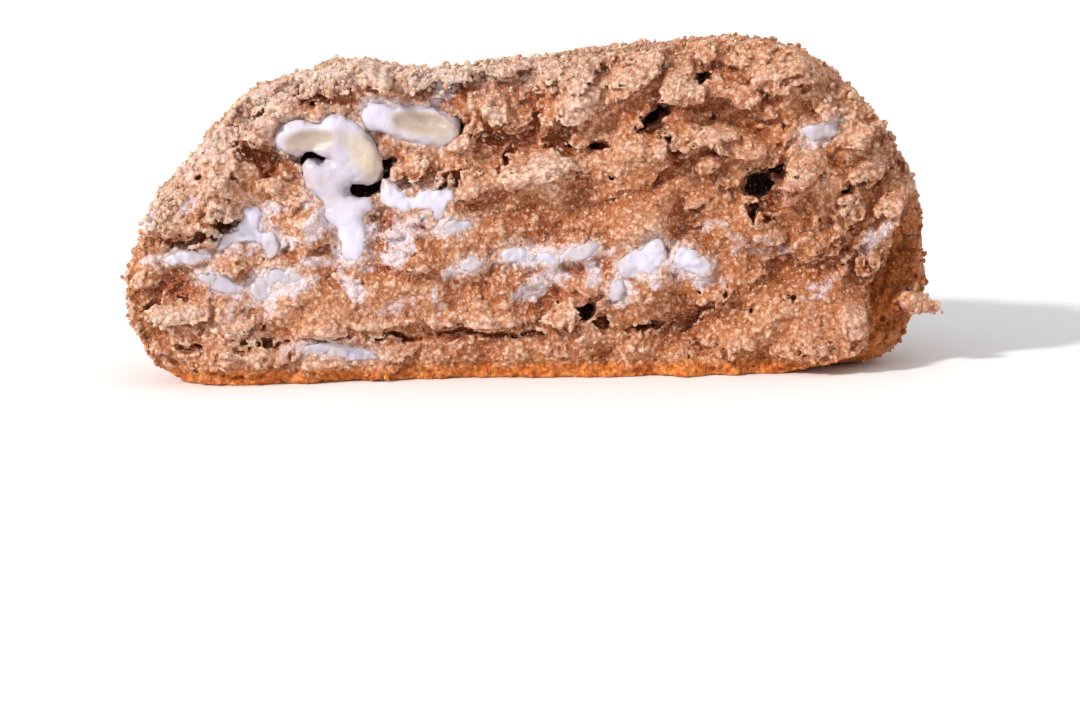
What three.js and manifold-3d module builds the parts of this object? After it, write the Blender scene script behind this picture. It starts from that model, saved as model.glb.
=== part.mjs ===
// Half of a thick pumpkin spice cookie that was broken in two by hand, lying on its flat base
// with the broken face towards -Y. The half is a lumpy dome cut by an uneven break. The break has
// torn holes, raised crumbs and a long crack over the base, and pieces of white chocolate sit in it.
// Millimetres, +Z up, +X along the break, origin in the middle of the flat base.
import * as THREE from 'three';
import { mergeVertices } from 'three/addons/utils/BufferGeometryUtils.js';
import Module from 'manifold-3d';

const wasm = await Module();
wasm.setup();

// Driving dimensions of the whole cookie that the half comes from.
const COOKIE_RADIUS = 46.3;
const TOP_HEIGHT = 36.6;
const WIDEST_HEIGHT = 12; // where the side stands out furthest
const BASE_SHARE = 0.82; // radius of the flat base against the widest radius
const BASE_ROLL = 2.6; // 2 is round, more keeps the side upright for longer before it rolls in to the base
const TOP_FLATNESS = 3; // 2 is round, more is flatter
const LEFT_FULLNESS = 1.65; // 2 is round, less slopes more evenly up to the top
const RIGHT_FULLNESS = 2.4;
// Swellings and dips of the top along the break: [x, height, reach].
const TOP_SWELLS = [[-25, 1.9, 9], [-6, -0.8, 9], [28, 4.0, 12.5]];

// The break, and the centre of the whole cookie a little behind it.
const BREAK_Y = -24;
const CENTRE_Y = BREAK_Y + 4;
const EDGE_ROLL = 1.8; // how far the edge of the break crumbles back
const EDGE_ROLL_FROM = 0.84; // share of the way out at which that starts
const EDGE_ROLL_TO = 1.02;

// The dent in the side by the lower right corner of the break.
const DENT_DEPTH = 6.5;
const DENT_TOP = 16;
const DENT_EDGE = 2.5; // height over which the dent ends
const DENT_ANGLE = -0.12; // radians round the cookie from +X
const DENT_REACH = 0.12;
const DENT_SHARE = 0.6; // share of the radius outside which the dent works

// Lumps of the crust and of the break: [size of a lump, height]. The chocolate lies on the broad
// lumps of the break, and the fine ones fade out round it.
const CRUST_LUMPS = [[11, 1.1], [4.5, 0.8]];
const LUMPS_START = 4; // height over the base from which the crust is fully lumpy
const LUMP_SLANT = 1.6; // how much more a lump of the dome points up than away from the middle
const BROAD_LUMPS = [[15, 2.0]];
const FINE_LUMPS = [[6, 1.5], [2.9, 0.9]];

// Mesh steps.
const BALL_STEPS = 12;
const BASE_EDGE_ANGLE = 0.5; // part of the ball's lower half that becomes the edge of the base, radians
const BREAK_STEP = 2.2;
const BLOCK_MARGIN = 7; // how far the block that cuts the break reaches past the cookie
const LARGE_BLOB = 8; // mm2, half width times half height, from which a blob gets more faces
const SOCKET_GAP = 0.3; // free space round a piece of chocolate

// Soft edges and rough shapes, as shares of the size of an oval.
const CRAG_TOP = 0.2; // share of the way out at which a crag starts to fall off
const CRAG_FOOT = 1.4;
const CALM_FROM = 0.9; // round the chocolate the break is smooth up to here
const CALM_TO = 1.9; // and fully lumpy from here
const HOLE_ROUGHNESS = 0.22;
const CHOCOLATE_ROUGHNESS = 0.1;
const BUMPS_ROUND_BLOB = 2.1; // bumps of the roughness for each radius of a blob
const BLOB_NOISE_PLACE = 9; // where in the noise the blobs take their roughness from

// Holes torn into the break: x, z, half width, half height, tilt in degrees, depth.
const HOLES = [
  { name: 'behind the hook', x: -25.0, z: 25.6, wide: 1.9, high: 2.0, tilt: 0, deep: 6.5 },
  { name: 'under the hook', x: -18.7, z: 22.6, wide: 3.3, high: 1.7, tilt: 12, deep: 8 },
  { name: 'left slit', x: -34.4, z: 18.4, wide: 2.6, high: 1.0, tilt: 10, deep: 4.5 },
  { name: 'left groove', x: -38.6, z: 16.4, wide: 3.8, high: 0.9, tilt: 18, deep: 3.2 },
  { name: 'left nest', x: -39.9, z: 11.5, wide: 1.9, high: 1.2, tilt: 0, deep: 3.2 },
  { name: 'square pit', x: -27.7, z: 14.8, wide: 1.2, high: 1.0, tilt: 0, deep: 2 },
  { name: 'upper shoulder', x: -29.2, z: 31.0, wide: 3.4, high: 1.3, tilt: 22, deep: 2.8 },
  { name: 'lower shoulder', x: -31.2, z: 26.3, wide: 3.2, high: 1.2, tilt: -25, deep: 3.2 },
  { name: 'end of the slab', x: -7.9, z: 29.0, wide: 1.3, high: 1.1, tilt: -50, deep: 3.6 },
  { name: 'top hollow', x: 3.8, z: 27.9, wide: 1.7, high: 2.9, tilt: -20, deep: 3.8 },
  { name: 'fold pit', x: 8.5, z: 26.7, wide: 1.6, high: 0.7, tilt: 0, deep: 5.5 },
  { name: 'fold gap', x: 14.0, z: 29.9, wide: 3.3, high: 1.1, tilt: 32, deep: 7 },
  { name: 'fold tip', x: 19.9, z: 34.1, wide: 1.0, high: 0.7, tilt: 30, deep: 4.5 },
  { name: 'right hole', x: 27.0, z: 21.9, wide: 2.5, high: 1.4, tilt: 12, deep: 7.5 },
  { name: 'arm of the right hole', x: 29.2, z: 24.0, wide: 1.5, high: 0.9, tilt: 48, deep: 5.5 },
  { name: 'foot of the right hole', x: 27.3, z: 19.5, wide: 1.2, high: 1.8, tilt: -15, deep: 5.5 },
  { name: 'rim slit', x: 37.4, z: 21.3, wide: 2.3, high: 0.7, tilt: 15, deep: 3.2 },
  { name: 'base pocket', x: 7.4, z: 7.1, wide: 2.6, high: 1.9, tilt: -15, deep: 5 },
  { name: 'base slit', x: 13.6, z: 6.0, wide: 2.3, high: 0.8, tilt: 14, deep: 3.8 },
  { name: 'base gash', x: 18.9, z: 6.5, wide: 2.8, high: 0.9, tilt: 35, deep: 3.8 },
  { name: 'crack, left', x: -28.5, z: 5.2, wide: 9.5, high: 0.5, tilt: 1, deep: 3.2 },
  { name: 'crack, middle', x: -7.5, z: 5.5, wide: 11.5, high: 0.6, tilt: 0, deep: 3.6 },
];

// Crumbs and torn layers that stand out of the break: x, z, half width, half height, tilt, lift.
const CRAGS = [
  { name: 'flake', x: 18.0, z: 33.4, wide: 3.2, high: 2.2, tilt: 35, lift: 2.4 },
  { name: 'shelf, left', x: 17.6, z: 27.6, wide: 4.2, high: 2.4, tilt: 8, lift: 2.6 },
  { name: 'shelf, right', x: 23.3, z: 26.8, wide: 4.2, high: 2.4, tilt: -14, lift: 2.3 },
  { name: 'upper layer', x: 8.0, z: 31.8, wide: 6.6, high: 2.6, tilt: 24, lift: 1.8 },
  { name: 'top left', x: 4.3, z: 35.3, wide: 4.2, high: 2.2, tilt: 10, lift: 1.4 },
  { name: 'top right', x: 27.4, z: 35.4, wide: 5.2, high: 2.4, tilt: -6, lift: 1.4 },
  { name: 'brow', x: -21.5, z: 34.2, wide: 5.8, high: 2.2, tilt: 4, lift: 1.6 },
  { name: 'rim knob', x: 38.2, z: 19.0, wide: 3.0, high: 2.5, tilt: 30, lift: 1.8 },
  { name: 'right edge', x: 39.0, z: 12.6, wide: 3.4, high: 2.4, tilt: 70, lift: 1.8 },
  { name: 'left ledge', x: -38.8, z: 8.6, wide: 4.2, high: 2.2, tilt: 4, lift: 2.0 },
  { name: 'ledge by the hook', x: -13.6, z: 24.6, wide: 3.0, high: 1.8, tilt: 0, lift: 2.0 },
  { name: 'foot left', x: -33.5, z: 3.0, wide: 5.0, high: 2.0, tilt: 0, lift: 1.3 },
  { name: 'foot right', x: 31.0, z: 3.2, wide: 5.4, high: 2.0, tilt: -4, lift: 1.3 },
];

// Pieces of white chocolate. Each lobe: x, z, half width, half height, tilt, depth of its middle
// behind the break, half thickness.
const lobe = (x, z, wide, high, tilt, behind, thick) => ({ x, z, wide, high, tilt, behind, thick });
const CHOCOLATE = {
  chocolate_hook: [
    lobe(-20.2, 26.9, 4.7, 2.7, -52, 1.6, 3.0),
    lobe(-23.0, 28.2, 2.4, 1.9, 0, 1.5, 2.2),
    lobe(-26.2, 28.4, 2.8, 2.0, 8, 1.4, 2.2),
    lobe(-23.3, 23.1, 3.3, 1.7, -50, 1.2, 2.0),
    lobe(-21.9, 24.0, 1.7, 2.0, 0, 1.3, 2.0),
    lobe(-21.2, 19.8, 2.3, 1.9, -8, 1.4, 2.2),
    lobe(-19.3, 20.7, 1.5, 0.8, -5, 1.0, 1.5),
    lobe(-20.4, 16.9, 1.6, 3.3, 6, 1.4, 1.8),
  ],
  chocolate_slab: [
    lobe(-17.1, 30.6, 1.8, 1.6, 0, 1.2, 2.0),
    lobe(-13.2, 29.5, 4.0, 2.1, -14, 1.6, 2.6),
    lobe(-10.6, 29.1, 2.8, 2.2, -14, 1.6, 2.6),
  ],
  chocolate_bar: [
    lobe(-16.1, 22.0, 1.0, 1.1, 0, 1.1, 1.5),
    lobe(-12.9, 21.3, 4.0, 0.95, 2, 1.2, 1.8),
    lobe(-10.1, 20.3, 0.95, 2.0, -12, 1.2, 1.6),
  ],
  chocolate_dash: [lobe(-8.8, 18.0, 2.1, 0.75, 8, 0.9, 1.3)],
  chocolate_web: [
    lobe(-31.7, 19.4, 1.2, 1.9, 0, 1.0, 1.6),
    lobe(-32.4, 17.1, 2.6, 1.2, 20, 1.2, 1.9),
    lobe(-29.7, 16.3, 1.8, 1.6, -20, 1.1, 1.9),
  ],
  chocolate_left_ribbon: [lobe(-39.3, 15.0, 3.0, 0.75, 5, 0.9, 1.4)],
  chocolate_left_streak: [lobe(-35.6, 11.9, 3.0, 0.85, -22, 0.9, 1.4)],
  chocolate_patch: [
    lobe(-28.1, 12.5, 2.2, 1.1, -6, 1.0, 1.5),
    lobe(-30.9, 11.3, 1.4, 1.5, 0, 1.0, 1.5),
  ],
  chocolate_foot: [
    lobe(-24.0, 4.0, 2.8, 0.85, -4, 1.0, 1.7),
    lobe(-20.5, 3.4, 2.9, 0.75, -10, 1.0, 1.6),
  ],
  chocolate_ribbon: [
    lobe(-1.3, 14.3, 2.3, 1.0, -16, 1.1, 1.7),
    lobe(2.0, 14.1, 2.2, 0.8, -4, 1.1, 1.6),
    lobe(5.6, 14.6, 2.4, 0.9, 12, 1.1, 1.7),
  ],
  chocolate_nub: [lobe(-6.9, 13.5, 1.4, 1.0, 20, 0.9, 1.4)],
  chocolate_wedge: [
    lobe(12.4, 13.3, 2.8, 1.5, 25, 1.3, 2.2),
    lobe(13.9, 14.1, 1.3, 2.3, -10, 1.2, 1.9),
  ],
  chocolate_pebble: [lobe(9.9, 10.2, 0.9, 1.4, -20, 0.9, 1.4)],
  chocolate_split: [
    lobe(17.7, 13.7, 1.3, 1.5, 10, 1.1, 1.8),
    lobe(19.1, 12.8, 1.5, 1.1, -32, 1.1, 1.7),
  ],
  chocolate_rim: [
    lobe(32.1, 27.5, 1.6, 1.1, 22, 1.0, 1.6),
    lobe(34.1, 28.3, 1.6, 0.9, 30, 1.0, 1.5),
  ],
};

const { clamp, lerp, smoothstep, degToRad } = THREE.MathUtils;

// Smooth noise between -1 and 1, the same for the same place every time.
function corner(i, j, k) {
  const s = Math.sin(i * 127.1 + j * 311.7 + k * 74.7) * 43758.5453;
  return 2 * (s - Math.floor(s)) - 1;
}

function noise(x, y, z) {
  const [i, j, k] = [x, y, z].map(Math.floor);
  const [u, v, w] = [x - i, y - j, z - k].map((t) => t * t * (3 - 2 * t));
  const along = (b, c) => lerp(corner(i, b, c), corner(i + 1, b, c), u);
  const across = (c) => lerp(along(j, c), along(j + 1, c), v);
  return lerp(across(k), across(k + 1), w);
}

const lumps = (layers, x, y, z) =>
  layers.reduce((sum, [size, height]) => sum + height * noise(x / size, y / size + 40, z / size), 0);

// Closed mesh to solid, and back.
function toSolid(geometry) {
  const bare = geometry.index ? geometry.clone() : geometry;
  bare.deleteAttribute('normal');
  bare.deleteAttribute('uv');
  const merged = mergeVertices(bare, 1e-4);
  const corners = merged.index.array;
  const kept = [];
  for (let i = 0; i < corners.length; i += 3) {
    const [a, b, c] = corners.slice(i, i + 3);
    if (a !== b && b !== c && c !== a) kept.push(a, b, c);
  }
  const vertProperties = new Float32Array(merged.attributes.position.array);
  return new wasm.Manifold(new wasm.Mesh({ numProp: 3, vertProperties, triVerts: new Uint32Array(kept) }));
}

function toGeometry(solid) {
  const mesh = solid.getMesh();
  const geometry = new THREE.BufferGeometry();
  geometry.setAttribute('position', new THREE.BufferAttribute(mesh.vertProperties, 3));
  geometry.setIndex(new THREE.BufferAttribute(mesh.triVerts, 1));
  geometry.computeVertexNormals();
  return geometry;
}

// Moves each vertex of a geometry in place.
function reshape(geometry, move) {
  const position = geometry.attributes.position;
  const point = new THREE.Vector3();
  for (let i = 0; i < position.count; i++) {
    point.fromBufferAttribute(position, i);
    move(point);
    position.setXYZ(i, point.x, point.y, point.z);
  }
  return geometry;
}

// Height of the top over a place, before lumps.
const topHeight = (x) =>
  TOP_SWELLS.reduce((sum, [at, height, reach]) => sum + height * Math.exp(-(((x - at) / reach) ** 2)), TOP_HEIGHT);

// Outline of the side. Over the widest height: share of the height at a share of the radius. Under it: the
// other way round, as the side rolls in to the flat base.
const fullness = (angle) => lerp(LEFT_FULLNESS, RIGHT_FULLNESS, 0.5 + 0.5 * Math.cos(angle));
const domeHeight = (share, angle) => (1 - share ** TOP_FLATNESS) ** (1 / fullness(angle));
const baseShare = (t) => BASE_SHARE + (1 - BASE_SHARE) * Math.sqrt(1 - t ** BASE_ROLL);

// How far the lower right corner is dented in, round the cookie and up its side.
function dent(angle, z) {
  const around = Math.exp(-(((angle - DENT_ANGLE) / DENT_REACH) ** 2));
  return DENT_DEPTH * around * (1 - smoothstep(z, DENT_TOP - DENT_EDGE, DENT_TOP));
}

// The whole cookie, from an even ball of radius 1: its upper half becomes the dome, and its lower half
// becomes the edge of the base and then the flat base.
function wholeCookie() {
  return toSolid(reshape(new THREE.IcosahedronGeometry(1, BALL_STEPS), (p) => {
    const angle = Math.atan2(p.y, p.x);
    const level = Math.min(1, Math.hypot(p.x, p.y));
    const down = clamp(-Math.asin(clamp(p.z, -1, 1)) / BASE_EDGE_ANGLE, 0, 1);
    const up = p.z > 0 ? domeHeight(level, angle) : 0;
    const share = p.z > 0 ? level : baseShare(down) * Math.min(1, level / Math.cos(BASE_EDGE_ANGLE));
    const outward = new THREE.Vector3(Math.cos(angle), Math.sin(angle), 0);

    p.copy(outward).multiplyScalar(share * COOKIE_RADIUS);
    p.y += CENTRE_Y;
    p.z = WIDEST_HEIGHT * (1 - down) + up * (topHeight(p.x) - WIDEST_HEIGHT);

    const lump = lumps(CRUST_LUMPS, p.x, p.y, p.z) * smoothstep(p.z, 0, LUMPS_START);
    const side = smoothstep(share, DENT_SHARE, 1);
    p.addScaledVector(new THREE.Vector3(p.x, p.y - CENTRE_Y, LUMP_SLANT * (p.z - WIDEST_HEIGHT)).normalize(), lump);
    p.addScaledVector(outward, -dent(angle, p.z) * side);
    p.z = Math.max(p.z, 0);
  }));
}

// Share of the way from the middle of the break to its outline, 1 on the outline.
function shareOut(x, z) {
  const share = Math.abs(x) / COOKIE_RADIUS;
  if (z < WIDEST_HEIGHT) return share / baseShare(clamp(1 - z / WIDEST_HEIGHT, 0, 1));
  const t = (z - WIDEST_HEIGHT) / (topHeight(x) - WIDEST_HEIGHT);
  return (share ** TOP_FLATNESS + t ** fullness(x > 0 ? 0 : Math.PI)) ** (1 / TOP_FLATNESS);
}

// Distance from the middle of a tilted oval, 1 on its edge.
function ovalShare({ x, z, wide, high, tilt }, px, pz) {
  const [c, s] = [Math.cos(degToRad(tilt)), Math.sin(degToRad(tilt))];
  const [dx, dz] = [px - x, pz - z];
  return Math.hypot((dx * c + dz * s) / wide, (dz * c - dx * s) / high);
}

// How far the crumbs stand out of the break at a place.
const cragLift = (x, z) =>
  CRAGS.reduce((sum, crag) => sum + crag.lift * (1 - smoothstep(ovalShare(crag, x, z), CRAG_TOP, CRAG_FOOT)), 0);

// 0 on a piece of chocolate, 1 away from all of them.
function awayFromChocolate(x, z) {
  const shares = Object.values(CHOCOLATE).flat().map((lobe) => ovalShare(lobe, x, z));
  return smoothstep(Math.min(...shares), CALM_FROM, CALM_TO);
}

// The break without its fine lumps, which the holes and the chocolate start from.
const broadBreak = (x, z) =>
  BREAK_Y + lumps(BROAD_LUMPS, x, 0, z) + EDGE_ROLL * smoothstep(shareOut(x, z), EDGE_ROLL_FROM, EDGE_ROLL_TO);

const breakSurface = (x, z) =>
  broadBreak(x, z) + awayFromChocolate(x, z) * lumps(FINE_LUMPS, x, 0, z) - cragLift(x, z);

// Everything in front of the break: a block whose back is the uneven broken face.
function breakBlock() {
  const size = { x: 2 * (COOKIE_RADIUS + BLOCK_MARGIN), y: 2 * COOKIE_RADIUS, z: TOP_HEIGHT + 2 * BLOCK_MARGIN };
  const middle = TOP_HEIGHT / 2;
  const steps = [size.x, size.z].map((s) => Math.round(s / BREAK_STEP));
  const block = new THREE.BoxGeometry(size.x, size.y, size.z, steps[0], 1, steps[1]);
  return toSolid(reshape(block, (p) => {
    p.z += middle;
    p.y = p.y > 0 ? breakSurface(p.x, p.z) : BREAK_Y - size.y;
  }));
}

// A rough egg shape with its middle on the break or behind it.
function blob({ x, z, wide, high, tilt, behind = 0, thick, grow = 0, rough = HOLE_ROUGHNESS }) {
  const egg = new THREE.IcosahedronGeometry(1, wide * high > LARGE_BLOB ? 2 : 1);
  reshape(egg, (p) => {
    const around = p.clone().multiplyScalar(BUMPS_ROUND_BLOB);
    const swell = 1 + rough * noise(around.x + x, around.y + BLOB_NOISE_PLACE, around.z + z);
    p.set(p.x * (wide * swell + grow), p.y * (thick * swell + grow), p.z * (high * swell + grow));
  });
  return toSolid(egg.rotateY(-degToRad(tilt)).translate(x, broadBreak(x, z) + behind, z));
}

const union = (solids) => wasm.Manifold.union(solids);

const chocolate = (lobes, grow = 0) =>
  union(lobes.map((lobe) => blob({ ...lobe, grow, rough: CHOCOLATE_ROUGHNESS })));

function cookieHalf() {
  const holes = HOLES.map((hole) => blob({ ...hole, thick: hole.deep }));
  const sockets = Object.values(CHOCOLATE).map((lobes) => chocolate(lobes, SOCKET_GAP));
  const broken = wholeCookie().subtract(breakBlock());
  const pieces = broken.subtract(union([...holes, ...sockets])).decompose();
  return pieces.reduce((most, piece) => (piece.volume() > most.volume() ? piece : most));
}

const dough = new THREE.MeshStandardMaterial({ color: 0xc08a5a, roughness: 0.85, metalness: 0 });
const whiteChocolate = new THREE.MeshStandardMaterial({ color: 0xeee6da, roughness: 0.4, metalness: 0 });

function named(name, solid, material) {
  const mesh = new THREE.Mesh(toGeometry(solid), material);
  mesh.name = name;
  return mesh;
}

const cookie = new THREE.Group();
cookie.add(named('cookie_half', cookieHalf(), dough));
for (const [name, lobes] of Object.entries(CHOCOLATE)) {
  cookie.add(named(name, chocolate(lobes), whiteChocolate));
}

export default cookie;
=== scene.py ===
"""Half of a thick pumpkin spice cookie, broken by hand, with white chocolate in the broken face.

The dough is a field on a fine grid, negative inside: the rounded cookie, cut by an uneven break, with
torn layers, holes and crumb. Its surface becomes one closed mesh. Each piece of white chocolate is made
the same way from rounded lobes. Sugar grains and crumbs are strewn over the dough.
Lengths are in millimetres until a mesh is made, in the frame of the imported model.
"""

import itertools
import math
from collections import namedtuple

import bpy
import numpy as np
from mathutils import Matrix, Vector


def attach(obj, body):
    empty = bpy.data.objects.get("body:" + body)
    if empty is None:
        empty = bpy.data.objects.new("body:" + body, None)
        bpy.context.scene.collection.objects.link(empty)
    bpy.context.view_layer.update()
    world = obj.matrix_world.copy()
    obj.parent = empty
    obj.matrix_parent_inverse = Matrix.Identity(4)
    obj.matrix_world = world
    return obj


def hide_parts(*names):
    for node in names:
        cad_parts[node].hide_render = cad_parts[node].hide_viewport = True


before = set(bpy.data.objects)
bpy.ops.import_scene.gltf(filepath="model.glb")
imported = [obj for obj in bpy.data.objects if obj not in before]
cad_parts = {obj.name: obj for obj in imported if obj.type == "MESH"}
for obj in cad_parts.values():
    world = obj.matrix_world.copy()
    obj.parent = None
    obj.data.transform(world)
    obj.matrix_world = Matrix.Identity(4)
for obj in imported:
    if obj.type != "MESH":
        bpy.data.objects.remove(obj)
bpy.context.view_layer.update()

MM = 0.001  # metres

# ---------------------------------------------------------------- the whole cookie and its break
COOKIE_RADIUS = 46.3
TOP_HEIGHT = 36.6
WIDEST_HEIGHT = 12.0
BASE_SHARE = 0.82
TOP_FLATNESS = 3.0
LEFT_FULLNESS = 1.65
RIGHT_FULLNESS = 2.4
BASE_ROLL = 2.6
TOP_SWELLS = [(-25, 1.9, 9), (-6, -0.8, 9), (28, 4.0, 12.5)]  # x, height, reach
CRUST_LUMPS = [(11, 1.1), (4.5, 0.8)]  # size, height
LUMPS_START = 4.0

BREAK_Y = -24.0
CENTRE_Y = BREAK_Y + 4
EDGE_ROLL = 1.8
EDGE_ROLL_FROM = 0.84
EDGE_ROLL_TO = 1.02
BROAD_LUMPS = [(15, 2.0)]
FINE_LUMPS = [(6, 1.5), (2.9, 0.9)]

DENT_DEPTH = 6.5
DENT_TOP = 16.0
DENT_EDGE = 2.5
DENT_ANGLE = -0.12
DENT_REACH = 0.12
DENT_SHARE = 0.6

# Ovals on the break: middle, half width, half height, tilt in degrees, and depth into it or lift out of it.
Oval = namedtuple("Oval", "x z wide high tilt depth")


def make_ovals(*rows):
    return [Oval(*row) for row in rows]


HOLES = make_ovals(
    (-25.0, 25.6, 1.9, 2.0, 0, 6.5),  # behind the hook
    (-18.7, 22.6, 3.4, 1.9, 12, 8.0),  # under the hook
    (-16.2, 25.0, 1.2, 1.9, -40, 5.0),
    (-34.4, 18.6, 2.2, 1.0, 10, 3.2),  # slits and nest on the left
    (-38.6, 16.6, 3.4, 0.8, 18, 2.0),
    (-39.9, 11.5, 1.8, 1.2, 10, 1.8),
    (-43.2, 9.4, 0.9, 0.8, 0, 1.6),
    (-39.3, 4.6, 1.2, 0.7, 8, 1.6),
    (-29.8, 31.4, 2.4, 0.8, 22, 1.1),  # shoulder
    (-31.2, 26.3, 2.8, 1.1, -25, 2.2),
    (-29.4, 24.6, 0.7, 0.8, 0, 1.8),
    (-7.9, 29.0, 1.0, 1.4, -50, 3.6),  # end of the slab
    (-2.6, 24.8, 0.5, 0.7, 0, 3.2),  # middle of the top
    (-1.6, 26.6, 1.6, 0.4, 56, 2.0),
    (-8.9, 23.4, 1.5, 0.4, 35, 1.6),
    (0.6, 30.2, 0.4, 0.5, 0, 1.2),
    (3.4, 28.1, 1.2, 2.6, -24, 1.3),
    (4.5, 26.2, 0.8, 0.8, 0, 3.4),
    (7.9, 26.7, 1.4, 0.6, 0, 5.5),  # folds on the right of the top
    (14.8, 30.0, 2.1, 1.1, 30, 7.0),
    (12.9, 29.0, 1.3, 0.6, 25, 5.0),
    (16.2, 27.3, 0.7, 0.4, -15, 3.0),
    (19.9, 34.1, 1.1, 0.8, 30, 4.5),
    (30.5, 34.1, 0.6, 0.7, 20, 2.4),
    (26.4, 22.0, 2.6, 1.7, 12, 9.0),  # right hole
    (28.6, 23.8, 2.2, 1.1, 46, 5.5),
    (25.2, 18.9, 0.9, 1.6, -15, 6.0),
    (27.6, 20.2, 1.6, 2.0, -12, 2.8),
    (36.6, 21.4, 2.4, 0.6, 22, 2.8),  # by the right rim
    (42.2, 22.4, 0.5, 0.4, 0, 1.6),
    (39.9, 9.5, 0.8, 1.9, -10, 4.6),  # under the torn edge by the dent
    (-33.6, 17.1, 0.4, 0.25, 30, 2.0),
    (16.0, 11.9, 0.4, 0.4, 0, 1.0),
    (29.2, 8.4, 0.35, 0.5, 30, 1.0),
    (6.4, 7.3, 1.4, 1.5, 0, 4.6),  # over the base
    (8.1, 6.6, 1.4, 1.1, -20, 2.2),
    (13.6, 6.0, 2.1, 0.7, 14, 3.4),
    (18.9, 6.5, 2.6, 0.8, 35, 3.4),
    (-31.0, 5.2, 4.5, 0.4, 3, 1.3),  # crack over the base
    (-23.5, 5.4, 3.0, 0.4, -4, 1.2),
    (-16.0, 5.3, 3.6, 0.45, 0, 1.7),
    (-9.6, 5.6, 3.4, 0.5, 3, 1.9),
    (-3.0, 5.2, 5.0, 0.4, -3, 1.8),
)

# Pale crags and flakes that stand out of the break.
CRAGS = make_ovals(
    (17.6, 33.4, 2.1, 1.9, 40, 2.2),  # flake
    (22.4, 33.2, 3.2, 1.0, -12, 1.4),
    (26.3, 31.0, 1.6, 1.0, -35, 1.2),
    (18.0, 27.6, 3.0, 1.5, 12, 2.4),  # shelf
    (23.2, 27.6, 3.0, 1.4, -14, 2.0),
    (20.7, 24.6, 1.6, 1.0, 35, 1.4),
    (1.9, 25.0, 2.9, 1.2, 8, 1.5),
    (-3.8, 31.2, 1.2, 1.8, 15, 1.1),
    (-7.0, 28.0, 2.0, 1.4, 40, 0.6),
    (8.0, 32.4, 5.6, 1.4, 24, 1.2),
    (5.5, 35.3, 4.4, 1.6, 8, 1.5),
    (-3.5, 35.2, 4.0, 1.1, 2, 1.3),
    (27.4, 35.6, 5.4, 1.8, -6, 1.5),
    (33.0, 31.4, 2.4, 1.2, -40, 1.0),
    (-21.5, 34.6, 6.4, 1.3, 2, 1.6),
    (-12.0, 34.4, 4.4, 1.1, 0, 1.5),
    (-30.5, 29.2, 2.6, 1.0, 40, 1.0),
    (-34.6, 25.6, 2.2, 1.2, 50, 1.0),
    (-27.0, 22.4, 2.2, 1.3, -20, 1.0),
    (-35.5, 20.6, 1.2, 1.3, 0, 1.2),
    (-43.6, 13.2, 1.2, 1.7, 0, 1.1),
    (-40.0, 9.2, 3.0, 0.9, 3, 1.8),
    (-13.6, 24.6, 2.6, 1.3, 0, 1.9),
    (-33.5, 3.0, 4.6, 1.2, 0, 1.1),
    (-6.0, 7.2, 5.5, 0.8, -3, 0.9),
    (4.2, 7.6, 0.9, 2.5, 5, 1.1),
    (-16.0, 6.9, 4.0, 0.6, 2, 0.6),
    (38.4, 22.8, 1.8, 1.4, 10, 1.2),
    (36.7, 18.9, 2.4, 1.6, 35, 1.6),
    (41.8, 19.4, 2.6, 1.4, 10, 1.4),
    (40.5, 14.8, 1.4, 3.0, -28, 1.6),
    (38.4, 11.6, 1.8, 1.3, 50, 1.5),
    (36.9, 6.6, 1.4, 1.8, 30, 1.4),
    (27.2, 16.3, 1.6, 1.0, -10, 0.9),
    (30.9, 2.9, 4.4, 1.1, -3, 0.8),
    (22.1, 4.1, 3.0, 1.6, 0, 0.8),
)

# Hollows with the orange brown of moist dough in them.
HOLLOWS = make_ovals(
    (-17.5, 27.9, 1.3, 3.6, -40, 0.9),  # between the hook and the slab
    (-9.0, 31.4, 1.9, 1.9, 0, 0.7),
    (-2.9, 33.4, 5.0, 0.9, 3, 0.8),
    (-23.8, 32.4, 2.8, 1.1, 4, 0.8),
    (-32.4, 31.2, 1.3, 1.0, 45, 0.7),
    (-31.4, 26.6, 2.2, 1.3, -25, 0.7),
    (-40.2, 17.2, 2.3, 1.3, 20, 0.8),
    (-40.0, 11.5, 2.0, 1.4, 0, 0.6),
    (-27.8, 14.8, 1.2, 1.0, 0, 1.4),  # windows under the chocolate
    (-24.0, 15.7, 1.4, 0.9, 15, 1.1),
    (4.4, 12.7, 1.8, 0.9, 0, 1.0),
    (15.4, 14.7, 0.8, 0.8, 0, 0.7),
    (11.2, 20.8, 4.6, 0.9, 22, 0.6),
    (16.4, 23.6, 2.6, 0.8, 30, 0.7),
    (11.4, 30.4, 4.0, 1.1, 32, 0.7),
    (20.2, 31.2, 4.4, 1.2, 10, 0.7),
    (24.8, 27.6, 2.4, 1.0, 10, 0.6),
    (34.7, 26.2, 1.3, 2.2, 20, 0.7),
    (5.0, 9.4, 4.4, 0.8, -8, 0.6),
    (31.0, 20.4, 1.4, 2.0, 0, 0.6),
    (28.6, 12.2, 2.0, 1.0, 40, 0.5),
    (-5.6, 21.0, 3.4, 0.9, 12, 0.4),
    (-14.0, 12.6, 3.4, 0.8, -10, 0.4),
)

# Smooth, moist parts of the break, where the crumb hardly stands out.
MOIST = make_ovals(
    (10.6, 29.5, 6.0, 2.0, 28, 1.0),
    (20.5, 31.0, 4.5, 1.6, 15, 1.0),
    (13.4, 21.6, 9.5, 3.0, 22, 1.0),
    (25.0, 25.6, 3.0, 1.4, 10, 0.8),
    (-17.6, 8.8, 12.0, 2.4, -3, 0.8),
    (-16.4, 26.4, 1.8, 4.0, -40, 0.9),
    (-4.0, 18.5, 9.0, 3.2, 15, 0.6),
    (33.0, 8.5, 4.5, 3.0, 30, 0.7),
    (22.0, 14.0, 6.0, 3.0, 10, 0.5),
)

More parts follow.
